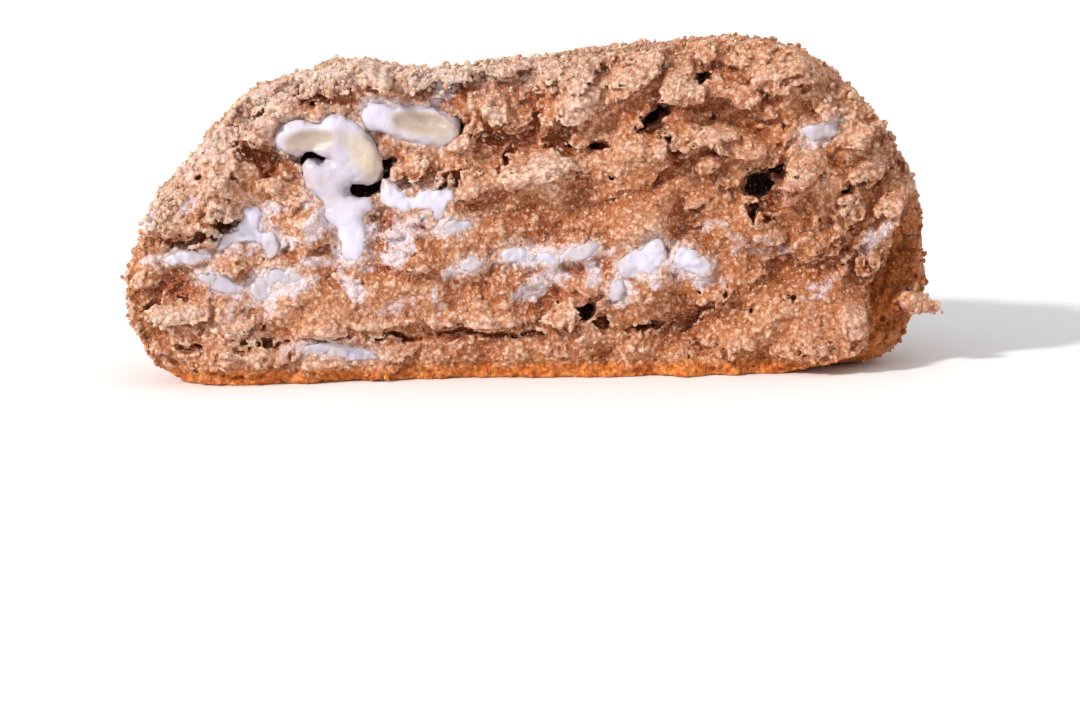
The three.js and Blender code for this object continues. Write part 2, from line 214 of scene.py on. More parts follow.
# Smears where melted chocolate coloured the dough: the depth is how strong they are.
SMEARS = make_ovals(
    (-23.9, 18.6, 2.9, 1.4, 44, 1.1),  # round the tail of the hook
    (-15.2, 16.2, 1.8, 2.8, -14, 1.1),
    (-17.8, 17.4, 1.3, 1.5, 0, 0.7),
    (-20.4, 17.0, 2.8, 4.4, 6, 0.6),
    (-24.4, 14.3, 1.8, 0.6, 0, 0.9),
    (-29.4, 20.3, 1.9, 0.8, 10, 0.9),  # round the web
    (-28.0, 16.4, 1.9, 0.9, 10, 0.9),
    (-32.4, 17.6, 3.6, 2.6, 15, 0.55),
    (-43.1, 19.9, 0.9, 1.6, -20, 0.8),
    (-38.9, 20.9, 1.6, 0.8, 30, 0.6),
    (-20.2, 10.9, 1.9, 1.0, -50, 1.1),
    (-9.6, 33.1, 2.4, 0.9, 42, 0.9),
    (0.2, 10.4, 2.4, 1.2, 25, 1.0),  # under the ribbon
    (3.0, 12.0, 1.6, 1.0, -35, 0.9),
    (7.1, 12.4, 1.0, 1.9, -15, 0.8),
    (2.6, 14.4, 7.0, 1.4, 4, 0.75),
    (-9.2, 12.6, 1.2, 0.9, 0, 0.9),
    (-7.6, 13.2, 2.2, 1.3, 15, 0.6),
    (13.4, 13.4, 3.9, 2.2, 15, 0.7),
    (18.2, 12.6, 3.4, 1.7, -20, 0.8),
    (14.2, 11.6, 0.9, 1.5, 0, 0.8),
    (10.3, 10.2, 1.7, 2.0, -20, 0.8),
    (39.4, 15.4, 1.2, 2.4, -30, 0.8),
    (-42.6, 14.8, 2.4, 0.6, 5, 0.8),
    (-39.3, 15.0, 3.6, 1.1, 5, 0.6),
    (-9.0, 17.9, 2.8, 1.1, 10, 0.8),
    (-11.8, 18.4, 2.0, 1.6, 0, 0.5),
    (-30.7, 11.4, 2.1, 2.0, 0, 0.9),
    (-28.0, 12.0, 2.9, 1.7, -10, 0.9),
    (-35.6, 11.9, 3.4, 1.3, -24, 0.7),
    (20.9, 17.4, 1.5, 0.9, 0, 0.6),
    (-25.0, 21.4, 1.8, 0.8, 40, 0.6),
    (-24.4, 3.9, 5.2, 1.0, -6, 0.7),
    (-11.0, 10.4, 0.5, 1.3, 0, 0.7),
    (33.0, 9.6, 2.0, 1.0, 20, 0.6),
    (-17.0, 31.0, 2.6, 2.2, -10, 0.7),
    (33.4, 27.8, 2.4, 1.4, 25, 0.7),
    (-13.6, 8.6, 5.0, 1.4, 0, 0.35),
    (25.6, 14.8, 4.0, 1.4, -10, 0.4),
    (-34.0, 8.6, 6.0, 1.4, 0, 0.35),
)

# Pieces of white chocolate, as rounded lobes: behind is how deep the middle lies, thick the half thickness.
Lobe = namedtuple("Lobe", "x z wide high tilt behind thick")

CHOCOLATE = {
    "chocolate_hook": [
        Lobe(-20.2, 26.9, 4.7, 2.7, -52, 1.6, 3.0),
        Lobe(-23.0, 28.2, 2.4, 1.9, 0, 1.5, 2.2),
        Lobe(-26.2, 28.4, 2.8, 2.0, 8, 1.4, 2.2),
        Lobe(-23.3, 23.1, 3.3, 1.7, -50, 1.2, 2.0),
        Lobe(-21.9, 24.0, 1.7, 2.0, 0, 1.3, 2.0),
        Lobe(-21.2, 19.8, 2.3, 1.9, -8, 1.4, 2.2),
        Lobe(-19.3, 20.7, 1.5, 0.8, -5, 1.0, 1.5),
        Lobe(-20.4, 16.9, 1.6, 3.3, 6, 1.4, 1.8),
    ],
    "chocolate_slab": [
        Lobe(-17.1, 30.6, 1.8, 1.6, 0, 1.2, 2.0),
        Lobe(-13.2, 29.5, 4.0, 2.1, -14, 1.6, 2.6),
        Lobe(-10.6, 29.1, 2.8, 2.2, -14, 1.6, 2.6),
    ],
    "chocolate_bar": [
        Lobe(-15.9, 21.9, 1.1, 1.3, 0, 1.1, 1.6),
        Lobe(-13.2, 21.1, 3.4, 1.2, 0, 1.2, 1.8),
        Lobe(-10.4, 21.4, 2.1, 1.0, 8, 1.2, 1.8),
        Lobe(-10.3, 20.1, 0.9, 1.9, -10, 1.2, 1.6),
    ],
    "chocolate_dash": [Lobe(-8.8, 18.0, 2.1, 0.75, 8, 0.9, 1.3)],
    "chocolate_web": [
        Lobe(-31.7, 19.6, 1.3, 1.4, 0, 1.0, 1.6),
        Lobe(-32.3, 17.8, 1.4, 1.3, 0, 1.1, 1.9),
        Lobe(-34.0, 17.0, 2.5, 0.7, 35, 1.1, 1.8),
        Lobe(-29.8, 16.2, 1.0, 1.7, -10, 1.1, 1.9),
        Lobe(-31.0, 17.2, 1.6, 0.7, -25, 1.1, 1.8),
    ],
    "chocolate_left_ribbon": [Lobe(-39.3, 15.0, 3.0, 0.75, 5, 0.9, 1.4)],
    "chocolate_left_streak": [Lobe(-35.6, 11.9, 3.0, 0.85, -22, 0.9, 1.4)],
    "chocolate_patch": [
        Lobe(-28.1, 12.5, 2.2, 1.1, -6, 1.0, 1.5),
        Lobe(-30.9, 11.3, 1.4, 1.5, 0, 1.0, 1.5),
    ],
    "chocolate_foot": [
        Lobe(-24.0, 4.0, 2.8, 0.85, -4, 1.0, 1.7),
        Lobe(-20.5, 3.4, 2.9, 0.75, -10, 1.0, 1.6),
    ],
    "chocolate_ribbon": [
        Lobe(-1.3, 14.3, 2.3, 1.0, -16, 1.1, 1.7),
        Lobe(2.0, 14.1, 2.2, 0.8, -4, 1.1, 1.6),
        Lobe(5.6, 14.6, 2.4, 0.9, 12, 1.1, 1.7),
    ],
    "chocolate_nub": [Lobe(-6.9, 13.5, 1.4, 1.0, 20, 0.9, 1.4)],
    "chocolate_wedge": [
        Lobe(12.4, 13.3, 2.8, 1.5, 25, 1.3, 2.2),
        Lobe(13.9, 14.1, 1.3, 2.3, -10, 1.2, 1.9),
    ],
    "chocolate_pebble": [Lobe(9.9, 10.2, 0.9, 1.4, -20, 0.9, 1.4)],
    "chocolate_split": [
        Lobe(17.7, 13.7, 1.3, 1.5, 10, 1.1, 1.8),
        Lobe(19.1, 12.8, 1.5, 1.1, -32, 1.1, 1.7),
    ],
    "chocolate_rim": [
        Lobe(32.1, 27.5, 1.6, 1.1, 22, 1.0, 1.6),
        Lobe(34.1, 28.3, 1.6, 0.9, 30, 1.0, 1.5),
    ],
}

# ---------------------------------------------------------------- noise
TABLE = 64
NOISE_SEED = 20
CUBE = tuple(itertools.product((0, 1), repeat=3))  # the corners of a cell
TINY = 1e-6  # keeps what is divided by away from zero, as the next two do
SMALL = 1e-5
BLUNT = 1e-4
dice = np.random.default_rng(NOISE_SEED)
VALUES = dice.uniform(-1, 1, TABLE**3).astype(np.float32)
JITTER = dice.uniform(0.15, 0.85, (3, TABLE**3)).astype(np.float32)


def clamp01(t):
    return np.clip(t, 0, 1)


def rising(t, low, high):
    """0 up to low, and 1 from high."""
    t = clamp01((t - low) / (high - low))
    return t * t * (3 - 2 * t)


def falling(t, low, high):
    """1 up to low, and 0 from high."""
    return 1 - rising(t, low, high)


def table_place(i, j, k):
    """Place in the flat table of a cell of the endless grid, which repeats every TABLE cells."""
    return ((i % TABLE) * TABLE + j % TABLE) * TABLE + k % TABLE


def scaled_down(x, y, z, size):
    """Places in steps of a cell of that size."""
    return [np.asarray(c, np.float32) / np.float32(size) for c in np.broadcast_arrays(x, y, z)]


def blended(places, kind, value, weight=1, total=0):
    """The total, and the values at the corners of the cell round each place, blended smoothly."""
    cells, parts = [], []
    for place in places:
        whole = np.floor(place)
        part = place - whole
        cells.append(whole.astype(kind))
        parts.append(part * part * (3 - 2 * part))
    for uppers in CUBE:
        share = weight
        for part, upper in zip(parts, uppers):
            share = share * (part if upper else 1 - part)
        total = total + share * value(*(cell + upper for cell, upper in zip(cells, uppers)))
    return total


def noise(x, y, z, size):
    """Smooth noise between -1 and 1 with lumps of that size."""
    return blended(scaled_down(x, y, z, size), np.int32, lambda *cell: VALUES[table_place(*cell)])


def grains(x, y, z, size):
    """Grains packed side by side: 1 in the middle of each, 0 in the gaps, and a random height for each."""
    scaled = scaled_down(x, y, z, size)
    cells = [np.floor(c - 0.5).astype(np.int32) for c in scaled]
    nearest = np.full(scaled[0].shape, 9.0, np.float32)
    height = np.zeros(scaled[0].shape, np.float32)
    for step in CUBE:
        near = [c + d for c, d in zip(cells, step)]
        place = table_place(*near)
        away = sum((n + j[place] - s) ** 2 for n, j, s in zip(near, JITTER, scaled))
        closer = away < nearest
        nearest = np.where(closer, away, nearest)
        height = np.where(closer, VALUES[place], height)
    return clamp01(1 - nearest), height


GRAIN_MEAN = 0.6  # of how far grains stand out


def rounded_grains(x, y, z, size):
    """How far grains of that size stand out, round their mean."""
    return grains(x, y, z, size)[0] - GRAIN_MEAN


def crumbs(x, y, z, layers):
    """Crumb made of layers of grains: (size, roundness, difference in height)."""
    total = 0
    for size, roundness, step in layers:
        rounded, height = grains(x, y, z, size)
        total = total + roundness * (rounded - GRAIN_MEAN) + step * height
    return total


def corner(i, j, k):
    """The value at a corner of the grid of the broad lumps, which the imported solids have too."""
    s = np.sin(i * 127.1 + j * 311.7 + k * 74.7) * 43758.5453
    return 2 * (s - np.floor(s)) - 1


def lumps(layers, x, y, z):
    """Broad lumps, as layers of (size, height)."""
    total = 0
    for size, height in layers:
        places = np.broadcast_arrays(x / size, y / size + 40, z / size)
        total = blended(places, np.float64, corner, height, total)
    return np.asarray(total, np.float32)


# ---------------------------------------------------------------- shape of the cookie
def top_height(x):
    return TOP_HEIGHT + sum(h * np.exp(-(((x - at) / reach) ** 2)) for at, h, reach in TOP_SWELLS)


def fullness(cosine):
    """How full the side is, where cosine is that of the angle round the cookie from +X."""
    return LEFT_FULLNESS + (RIGHT_FULLNESS - LEFT_FULLNESS) * (0.5 + 0.5 * cosine)


def base_share(t):
    return BASE_SHARE + (1 - BASE_SHARE) * np.sqrt(1 - clamp01(t) ** BASE_ROLL)


def cookie_distance(x, y, z):
    """Rough distance to the surface of the whole cookie, negative inside."""
    radial = np.hypot(x, y - CENTRE_Y) + TINY
    share = radial / COOKIE_RADIUS
    angle = np.arctan2(y - CENTRE_Y, x)

    dome = top_height(x) - WIDEST_HEIGHT
    t = np.maximum(z - WIDEST_HEIGHT, 0) / dome + SMALL
    n = fullness(np.cos(angle))
    over = (share**TOP_FLATNESS + t**n - 1) / np.hypot(
        TOP_FLATNESS * share ** (TOP_FLATNESS - 1) / COOKIE_RADIUS, n * t ** (n - 1) / dome
    )
    t = np.maximum(WIDEST_HEIGHT - z, 0) / WIDEST_HEIGHT + SMALL
    roll = np.maximum(share - BASE_SHARE, SMALL) / (1 - BASE_SHARE)
    under = (roll**2 + t**BASE_ROLL - 1) / np.hypot(
        2 * roll / (1 - BASE_SHARE) / COOKIE_RADIUS, BASE_ROLL * t ** (BASE_ROLL - 1) / WIDEST_HEIGHT
    )
    distance = np.where(z > WIDEST_HEIGHT, over, under)
    dented = np.exp(-(((angle - DENT_ANGLE) / DENT_REACH) ** 2)) * rising(share, DENT_SHARE, 1)
    return distance + DENT_DEPTH * dented * falling(z, DENT_TOP - DENT_EDGE, DENT_TOP)


def share_out(x, z):
    """Share of the way from the middle of the break to its outline, 1 on the outline."""
    share = np.abs(x) / COOKIE_RADIUS
    t = np.maximum(z - WIDEST_HEIGHT, 0) / (top_height(x) - WIDEST_HEIGHT)
    over = (share**TOP_FLATNESS + t ** fullness(np.sign(x))) ** (1 / TOP_FLATNESS)
    return np.where(z > WIDEST_HEIGHT, over, share / base_share(1 - z / WIDEST_HEIGHT))


def broad_break(x, z):
    """Where the break lies without its crumb. The holes and the chocolate start from it."""
    rolled = EDGE_ROLL * rising(share_out(x, z), EDGE_ROLL_FROM, EDGE_ROLL_TO)
    return BREAK_Y + lumps(BROAD_LUMPS, x, 0 * x, z) + rolled


def break_at(oval):
    """Where the broad break lies at the middle of an oval."""
    return float(broad_break(np.array([oval.x]), np.array([oval.z]))[0])


def turned(oval, x, z):
    """How far points lie along and across a tilted oval from its middle."""
    c, s = math.cos(math.radians(oval.tilt)), math.sin(math.radians(oval.tilt))
    dx, dz = x - oval.x, z - oval.z
    return dx * c + dz * s, dz * c - dx * s


def oval_share(oval, x, z):
    """Distance from the middle of a tilted oval, 1 on its edge."""
    along, across = turned(oval, x, z)
    return np.hypot(along / oval.wide, across / oval.high)


def chocolate_gap(x, z):
    """Rough distance on the break to the nearest chocolate, negative on it."""
    gap = None
    for lobe in itertools.chain(*CHOCOLATE.values()):
        along, across = turned(lobe, x, z)
        share = np.hypot(along / lobe.wide, across / lobe.high) + TINY
        near = share * (share - 1) / (np.hypot(along / lobe.wide**2, across / lobe.high**2) + TINY)
        gap = near if gap is None else np.minimum(gap, near)
    return gap


def mask_of(ovals, x, z, soft, ragged=0.0, size=1.0):
    """1 inside the ovals, times their strength, with ragged edges if asked."""
    wobble = ragged * noise(x, 5, z, size) if ragged else 0
    ends = (1 - soft, 1 + soft)
    return np.maximum.reduce([o.depth * falling(oval_share(o, x, z) + wobble, *ends) for o in ovals])


def summed(ovals, x, z, ragged, low):
    """The depths of the ovals that points lie in, together."""
    return sum(oval.depth * falling(oval_share(oval, x, z) + ragged, low, 1.1) for oval in ovals)


# ---------------------------------------------------------------- the broken face
LAYER_TILT = math.radians(24)
LAYER_STEP = 0.65  # height of a torn layer
LAYERS_PER_LUMP = 1.9


def torn_layers(x, z):
    """Height of the torn layers that the dough came apart in, with ragged edges."""
    along = x * math.cos(LAYER_TILT) + z * math.sin(LAYER_TILT)
    across = z * math.cos(LAYER_TILT) - x * math.sin(LAYER_TILT)
    height = noise(along / 2.4, 0, across, 3.2) + 0.5 * noise(along / 1.8, 11, across, 1.5)
    scallops = 0.3 * rounded_grains(x, 3, z, 1.1) + 0.16 * noise(x, 7, z, 0.5)
    height = LAYERS_PER_LUMP * (height + scallops)
    whole = np.floor(height)
    return LAYER_STEP * (whole + rising(height - whole, 0.62, 0.82))


def relief(x, z):
    """How far crags and torn layers stand out of the break at each place, less in the hollows."""
    away = rising(chocolate_gap(x, z), -0.6, 1.2)
    moist = mask_of(MOIST, x, z, 0.5)
    rough = 0.5 + 0.5 * rising(share_out(x, z), 0.35, 0.85) * rising(x, -34, -4)
    ragged = 0.45 * noise(x, 2, z, 1.8) - 0.5 * rounded_grains(x, 2, z, 1.0)
    lift = summed(CRAGS, x, z, ragged, 0.8)
    sunk = summed(HOLLOWS, x, z, ragged, 0.7)
    return lift * (0.3 + 0.7 * away) + rough * (1 - moist) * away * torn_layers(x, z) - sunk


# ---------------------------------------------------------------- fields on a grid
STEP = 0.24
LOW = (-50.0, -31.0, -0.75)
HIGH = (50.0, 29.0, 43.0)
BACK_FROM = -17.0  # y from where the steps along Y are longer
BACK_STEP = 1.7  # times the step
CRUMB_REACH = 1.3  # how far from the smooth surface the crumb is worked out


def spread(low, high, step):
    """Places from low to high or just past it, a step apart."""
    return (low + step * np.arange(math.ceil((high - low) / step) + 1)).astype(np.float32)


class Grid:
    """A block of points, given by the places along each axis."""

    def __init__(self, *axes):
        self.axes = axes

    def points(self, part=(slice(None),) * 3):
        """x, y and z of the points of the block or a part of it, in shapes that broadcast to it."""
        x, y, z = (axis[places] for axis, places in zip(self.axes, part))
        return x[:, None, None], y[None, :, None], z[None, None, :]

    def near(self, low, high):
        """The part of the block between two corners, as slices."""
        return tuple(slice(*np.searchsorted(axis, ends)) for axis, ends in zip(self.axes, zip(low, high)))

    def around(self, middle, reach):
        """The part of the block within reach of a place, as slices."""
        return self.near([m - reach for m in middle], [m + reach for m in middle])

    def place(self, steps):
        """Where points lie that are that many steps along each axis."""
        return np.stack([np.interp(s, np.arange(len(a)), a) for s, a in zip(steps.T, self.axes)], axis=1)

    def steps_to(self, places):
        """How many steps along each axis points lie."""
        return np.stack([np.interp(p, a, np.arange(len(a))) for p, a in zip(places.T, self.axes)], axis=1)


def sample(grid, field, places):
    """The field at any places, between the points of the grid."""
    scaled = grid.steps_to(places)
    whole = np.clip(np.floor(scaled).astype(int), 0, np.array(field.shape) - 2)
    part = scaled - whole
    total = 0
    for uppers in CUBE:
        weight = np.prod(np.where(uppers, part, 1 - part), axis=1)
        total = total + weight * field[tuple((whole + uppers).T)]
    return total


def egg(places, half):
    """Rough distance to an egg shape with those half widths, negative inside."""
    one = np.sqrt(sum((p / h) ** 2 for p, h in zip(places, half))) + TINY
    two = np.sqrt(sum((p / h**2) ** 2 for p, h in zip(places, half))) + TINY
    return one * (one - 1) / two


def ellipsoid(x, y, z, oval, middle_y, thick):
    """Rough distance to an egg shape on the break, negative inside."""
    along, across = turned(oval, x, z)
    return egg((along, y - middle_y, across), (oval.wide, thick, oval.high))


def smooth_union(a, b, soft):
    """The field of two things joined, with a fillet."""
    h = clamp01(0.5 + 0.5 * (b - a) / soft)
    return b + (a - b) * h - soft * h * (1 - h)


# How each piece of chocolate was left: blend of its lobes, how ragged it is, how far it stands proud,
# how far the crumb laps over its edge, how bumpy its front is, and how much of the crumb sticks to it.
Finish = namedtuple("Finish", "blend ragged proud lap bumps grainy")
BROKEN = Finish(0.5, 0.42, 0.2, 0.28, 0.25, 0.2)
FINISHES = dict.fromkeys(CHOCOLATE, BROKEN)
FINISHES["chocolate_hook"] = Finish(0.7, 0.3, 1.0, 0.15, 0.12, 0.06)
FINISHES["chocolate_slab"] = Finish(0.7, 0.35, 0.7, 0.2, 0.12, 0.08)
PLATE_SQUARENESS = 3.4  # 2 is an egg, more is flatter in front with a tighter edge

# Shallow scoops out of the front of the melted pieces: depth is how far in front of the break one starts.
SCOOPS = {
    "chocolate_hook": make_ovals((-24.8, 28.0, 2.7, 1.3, 8, 1.3)),
    "chocolate_slab": make_ovals((-12.0, 29.9, 3.3, 1.1, -8, 1.1)),
}
SCOOP_THICKNESS = 1.2

# Where the chocolate is whiter, partly its own colour and partly painted highlight where it catches the
# light, and where it is yellower, as painted shade on its shaded sides: the depth is how much.
WHITER_AND_LIT = make_ovals(
    (-20.4, 17.2, 2.2, 3.6, 6, 0.9),
    (-24.6, 29.6, 3.4, 0.9, 8, 0.6),
    (-17.6, 30.9, 1.8, 1.6, 0, 0.6),
    (-32.0, 18.4, 2.4, 2.2, 20, 0.8),
    (-12.8, 21.2, 4.4, 1.6, 0, 0.8),
    (13.2, 13.8, 2.4, 2.0, 20, 0.8),
    (17.8, 13.7, 1.6, 1.4, 0, 0.8),
    (0.0, 14.4, 3.0, 0.9, -6, 0.6),
)
CREAM_SHADE = make_ovals((-18.3, 26.0, 1.6, 3.0, 30, 0.8), (-10.0, 29.0, 2.6, 1.6, -14, 0.5))


def plate(x, y, z, lobe, middle_y):
    """Rough distance to a plate with round edges on the break, negative inside."""
    along, across = turned(lobe, x, z)
    face = np.hypot(along / lobe.wide, across / lobe.high) + BLUNT
    deep = np.abs(y - middle_y) / lobe.thick + BLUNT
    one = (face**PLATE_SQUARENESS + deep**PLATE_SQUARENESS) ** (1 / PLATE_SQUARENESS)
    face_slope = np.hypot(along / lobe.wide**2, across / lobe.high**2) / face + BLUNT
    steep = PLATE_SQUARENESS - 1
    return (one - 1) / np.hypot((face / one) ** steep * face_slope, (deep / one) ** steep / lobe.thick)


def scooped(name, x, y, z):
    """Distance to the nearest scoop of a piece, negative in it."""
    away = np.full(np.broadcast(x, y, z).shape, 9.0, np.float32)
    for scoop in SCOOPS.get(name, []):
        away = np.minimum(away, ellipsoid(x, y, z, scoop, break_at(scoop) - scoop.depth, SCOOP_THICKNESS))
    return away


def two_noises(x, y, z, size, finer, share):
    """Noise of one size, and finer noise that is that share as strong."""
    return noise(x, y, z, size) + share * noise(x, y, z, finer)


def chocolate_distance(name, x, y, z):
    """Rough distance to a piece of chocolate, negative inside."""
    finish = FINISHES[name]
    dx, dz = (finish.ragged * two_noises(x, y + far, z, 1.4, 0.6, 0.6) for far in (0, 30))
    total = None
    for lobe in CHOCOLATE[name]:
        one = plate(x + dx, y, z + dz, lobe, break_at(lobe) + lobe.behind)
        total = one if total is None else smooth_union(total, one, finish.blend)
    flat_x, flat_z = np.broadcast_arrays(x[:, 0, :], z[:, 0, :])
    wavy = finish.bumps * two_noises(flat_x, 60, flat_z, 1.7, 0.7, 0.5)
    front = (broad_break(flat_x, flat_z) - finish.proud + wavy)[:, None, :] - y
    total = -smooth_union(-total, -front, 0.3)
    total = total - finish.grainy * rounded_grains(x, y, z, 0.75)
    return -smooth_union(-total, scooped(name, x, y, z), 0.5)


ROOM_TO_SPARE = 1.8
ROOM_IN_FRONT = 7
ROOM_BEHIND = 5


def reach_of(ovals, thick):
    """Lowest and highest corner of the room that some ovals take, with some to spare."""
    x, z, half = np.array([(o.x, o.z, max(o.wide, o.high) + ROOM_TO_SPARE) for o in ovals]).T
    low = (np.min(x - half), BREAK_Y - ROOM_IN_FRONT, np.min(z - half))
    high = (np.max(x + half), BREAK_Y + thick + ROOM_BEHIND, np.max(z + half))
    return low, high


def reach_of_piece(name):
    """Lowest and highest corner of the room that a piece of chocolate takes."""
    return reach_of(CHOCOLATE[name], max(lobe.thick + lobe.behind for lobe in CHOCOLATE[name]))


BREAK_CRUMB = [(0.95, 0.2, 0.12), (0.5, 0.3, 0.14)]  # size of the grains, roundness, difference in height
CRUST_CRUMB = [(1.0, 0.34, 0.18), (0.52, 0.26, 0.12)]
MOIST_CRUMB = 0.75  # of the height elsewhere
CRACK_WIDTH = 0.13  # of the winding cracks in the crust, as a share of the noise that they follow
CRACK_DEPTH = 0.8
DROOP = 0.45  # how far torn edges hang down for each millimetre that they stand out
DROOP_REACH = 4.0
FLAKE_COUNT = 260
PORE_COUNT = 60
FLAKE_SEED = 8
Knob = namedtuple("Knob", "middle half tilt")  # a crumb that stands out of the side by the break
KNOBS = [
    Knob((44.6, -20.4, 7.6), (1.7, 1.4, 1.5), -0.3),
    Knob((46.1, -20.6, 7.2), (1.1, 0.8, 0.7), 0.35),
    Knob((-44.6, -22.5, 12.2), (1.4, 1.2, 1.3), 0.0),
]
KNOB_PITCH = 0.2
KNOB_SEED = 4
# How the edges of what is added and cut stray: layers of (size, distance).
HOLE_WARPS = [(2.2, 0.8), (0.9, 0.6)]
FLAKE_WARPS = [(1.1, 0.35), (0.6, 0.2)]
KNOB_WARPS = [(1.3, 0.3), (0.6, 0.2)]
# The torn edge on the right: heights, and where it is along X at each. Beyond it the break lies deeper.
RIDGE_Z = (0, 3.2, 5.5, 7.5, 9.9, 11.5, 17.3, 21.3)
RIDGE_X = (36.5, 37.6, 38.2, 38.7, 39.0, 40.6, 42.0, 42.6)
RIDGE_TOP = 19.0
RIDGE_DROP = 2.4


def beyond_ridge(x, z):
    """1 on the crust beyond the torn edge on the right."""
    ragged = 0.5 * noise(x, 9, z, 1.6) + 0.5 * rounded_grains(x, 9, z, 0.9)
    beyond = x - np.interp(z, RIDGE_Z, RIDGE_X) + ragged
    return rising(beyond, -0.2, 0.7) * falling(z, RIDGE_TOP, RIDGE_TOP + 4)


def strayed(x, y, z, seed, warps):
    """Places moved about, so that the edge of what is cut there is ragged."""
    dx = sum(far * noise(x + seed, y, z, size) for size, far in warps)
    dz = sum(far * noise(x, y + seed + 50, z, size) for size, far in warps)
    return x + dx, y, z + dz


def drooping(field, x, y, z):
    """The relief at every point, taken from higher up the further out the point lies."""
    long_z = spread(z[0] - DROOP_REACH, z[-1] + DROOP_REACH, STEP)
    table = np.asarray(field(*np.broadcast_arrays(x[:, None], long_z[None, :])), np.float32)
    slices = []
    for out in BREAK_Y - y:
        steps = (z + DROOP * np.clip(out, -DROOP_REACH, DROOP_REACH) - long_z[0]) / STEP
        whole = np.clip(steps.astype(int), 0, len(long_z) - 2)
        part = (steps - whole).astype(np.float32)
        slices.append(table[:, whole] * (1 - part) + table[:, whole + 1] * part)
    return np.stack(slices, axis=1)


def flake(x, y, z, middle, half, tilt, pitch):
    """A thin slab with a round outline whose lower edge stands out of the break."""
    along = np.array([math.cos(tilt), 0, math.sin(tilt)])
    across = np.array([-math.sin(tilt), 0, math.cos(tilt)])
    out = np.array([0, -1, 0])
    c, s = math.cos(pitch), math.sin(pitch)
    ways = [along, across * c - out * s, out * c + across * s]
    return egg([sum((p - m) * w for p, m, w in zip((x, y, z), middle, way)) for way in ways], half)


def add_flakes(field, grid, face_y):
    """Thin torn flakes and pores strewn over the break, mostly near its outline."""
    draw = np.random.default_rng(FLAKE_SEED)
    for number in range(FLAKE_COUNT + PORE_COUNT):
        fx, fz = draw.uniform(-44, 44), draw.uniform(1.5, 39)
        wide = 0.7 + 1.9 * draw.uniform() ** 2
        sizes = draw.uniform(size=5)
        at = (np.array([fx]), np.array([fz]))
        edge = share_out(*at)[0]
        if edge > 0.97 or chocolate_gap(*at)[0] < 1.0 or sizes[4] < 0.75 * mask_of(MOIST, *at, 0.5)[0]:
            continue
        is_flake = number < FLAKE_COUNT
        if is_flake and sizes[3] > 0.35 + edge:
            continue
        i, k = np.searchsorted(grid.axes[0], fx), np.searchsorted(grid.axes[2], fz)
        middle = (fx, face_y[i, k] + 0.15, fz)
        part = grid.around(middle, wide + 1.0)
        places = strayed(*grid.points(part), number, FLAKE_WARPS)
        if is_flake:
            half = (wide, wide * (0.4 + 0.4 * sizes[0]), 0.3 + 0.25 * sizes[1])
            tilt = LAYER_TILT * rising(fx, -10, 12) + 0.5 * (sizes[2] - 0.5)
            one = flake(*places, middle, half, tilt, math.radians(15 + 30 * sizes[3]))
            field[part] = smooth_union(field[part], one, 0.25)
        else:
            pore = Oval(fx, fz, 0.2 + 0.3 * sizes[0], 0.15 + 0.3 * sizes[1], 90 * sizes[2], 1 + sizes[3])
            field[part] = np.maximum(field[part], -ellipsoid(*places, pore, middle[1], pore.depth))


def add_knobs(field, grid):
    for knob in KNOBS:
        part = grid.around(knob.middle, 2 * max(knob.half))
        places = strayed(*grid.points(part), KNOB_SEED, KNOB_WARPS)
        field[part] = smooth_union(field[part], flake(*places, *knob, KNOB_PITCH), 0.5)


def cut_holes(field, grid):
    for number, hole in enumerate(HOLES):
        part = grid.near(*reach_of([hole], hole.depth))
        places = strayed(*grid.points(part), 7 * number, HOLE_WARPS)
        field[part] = np.maximum(field[part], -ellipsoid(*places, hole, break_at(hole), hole.depth))


def add_crumb(field, grid, rough_break, crust):
    """Fine crumb on the break, and lumps, coarser crumb and winding cracks on the crust."""
    close = np.nonzero(np.abs(field) < CRUMB_REACH)
    x, y, z = (axis[places] for axis, places in zip(grid.axes, close))
    on_break = rising(rough_break[close] - crust[close], -1.2, 0.6)
    away = rising(chocolate_gap(x, z), -1.0, 0.4)
    moist = mask_of(MOIST, x, z, 0.5)
    broken = 0.22 * noise(x, y, z, 2.1) + crumbs(x, y, z, BREAK_CRUMB)
    broken = broken * (0.35 + 0.65 * away) * (1 - (1 - MOIST_CRUMB) * moist)
    shell = 0.3 * noise(x, y, z, 2.6) + crumbs(x, y, z, CRUST_CRUMB)
    shell = lumps(CRUST_LUMPS, x, y, z) * rising(z, 0, LUMPS_START) + shell * rising(z, 0.2, 2.0)
    winding = np.abs(two_noises(x, y, z, 17, 4.5, 0.24))
    opening = CRACK_WIDTH * np.clip(0.45 + 1.3 * noise(x, y, z, 8), 0.1, 1)
    cracked = falling(winding / opening, 0.0, 1.0)
    cracked = cracked * rising(z, 6, 14) * rising(y, BREAK_Y + 4, BREAK_Y + 9)
    shell = shell - CRACK_DEPTH * cracked
    field[close] -= broken * on_break + shell * (1 - on_break)


def cut_sockets(field, grid):
    for name in CHOCOLATE:
        part = grid.near(*reach_of_piece(name))
        socket = chocolate_distance(name, *grid.points(part))
        field[part] = np.maximum(field[part], -(socket + FINISHES[name].lap))


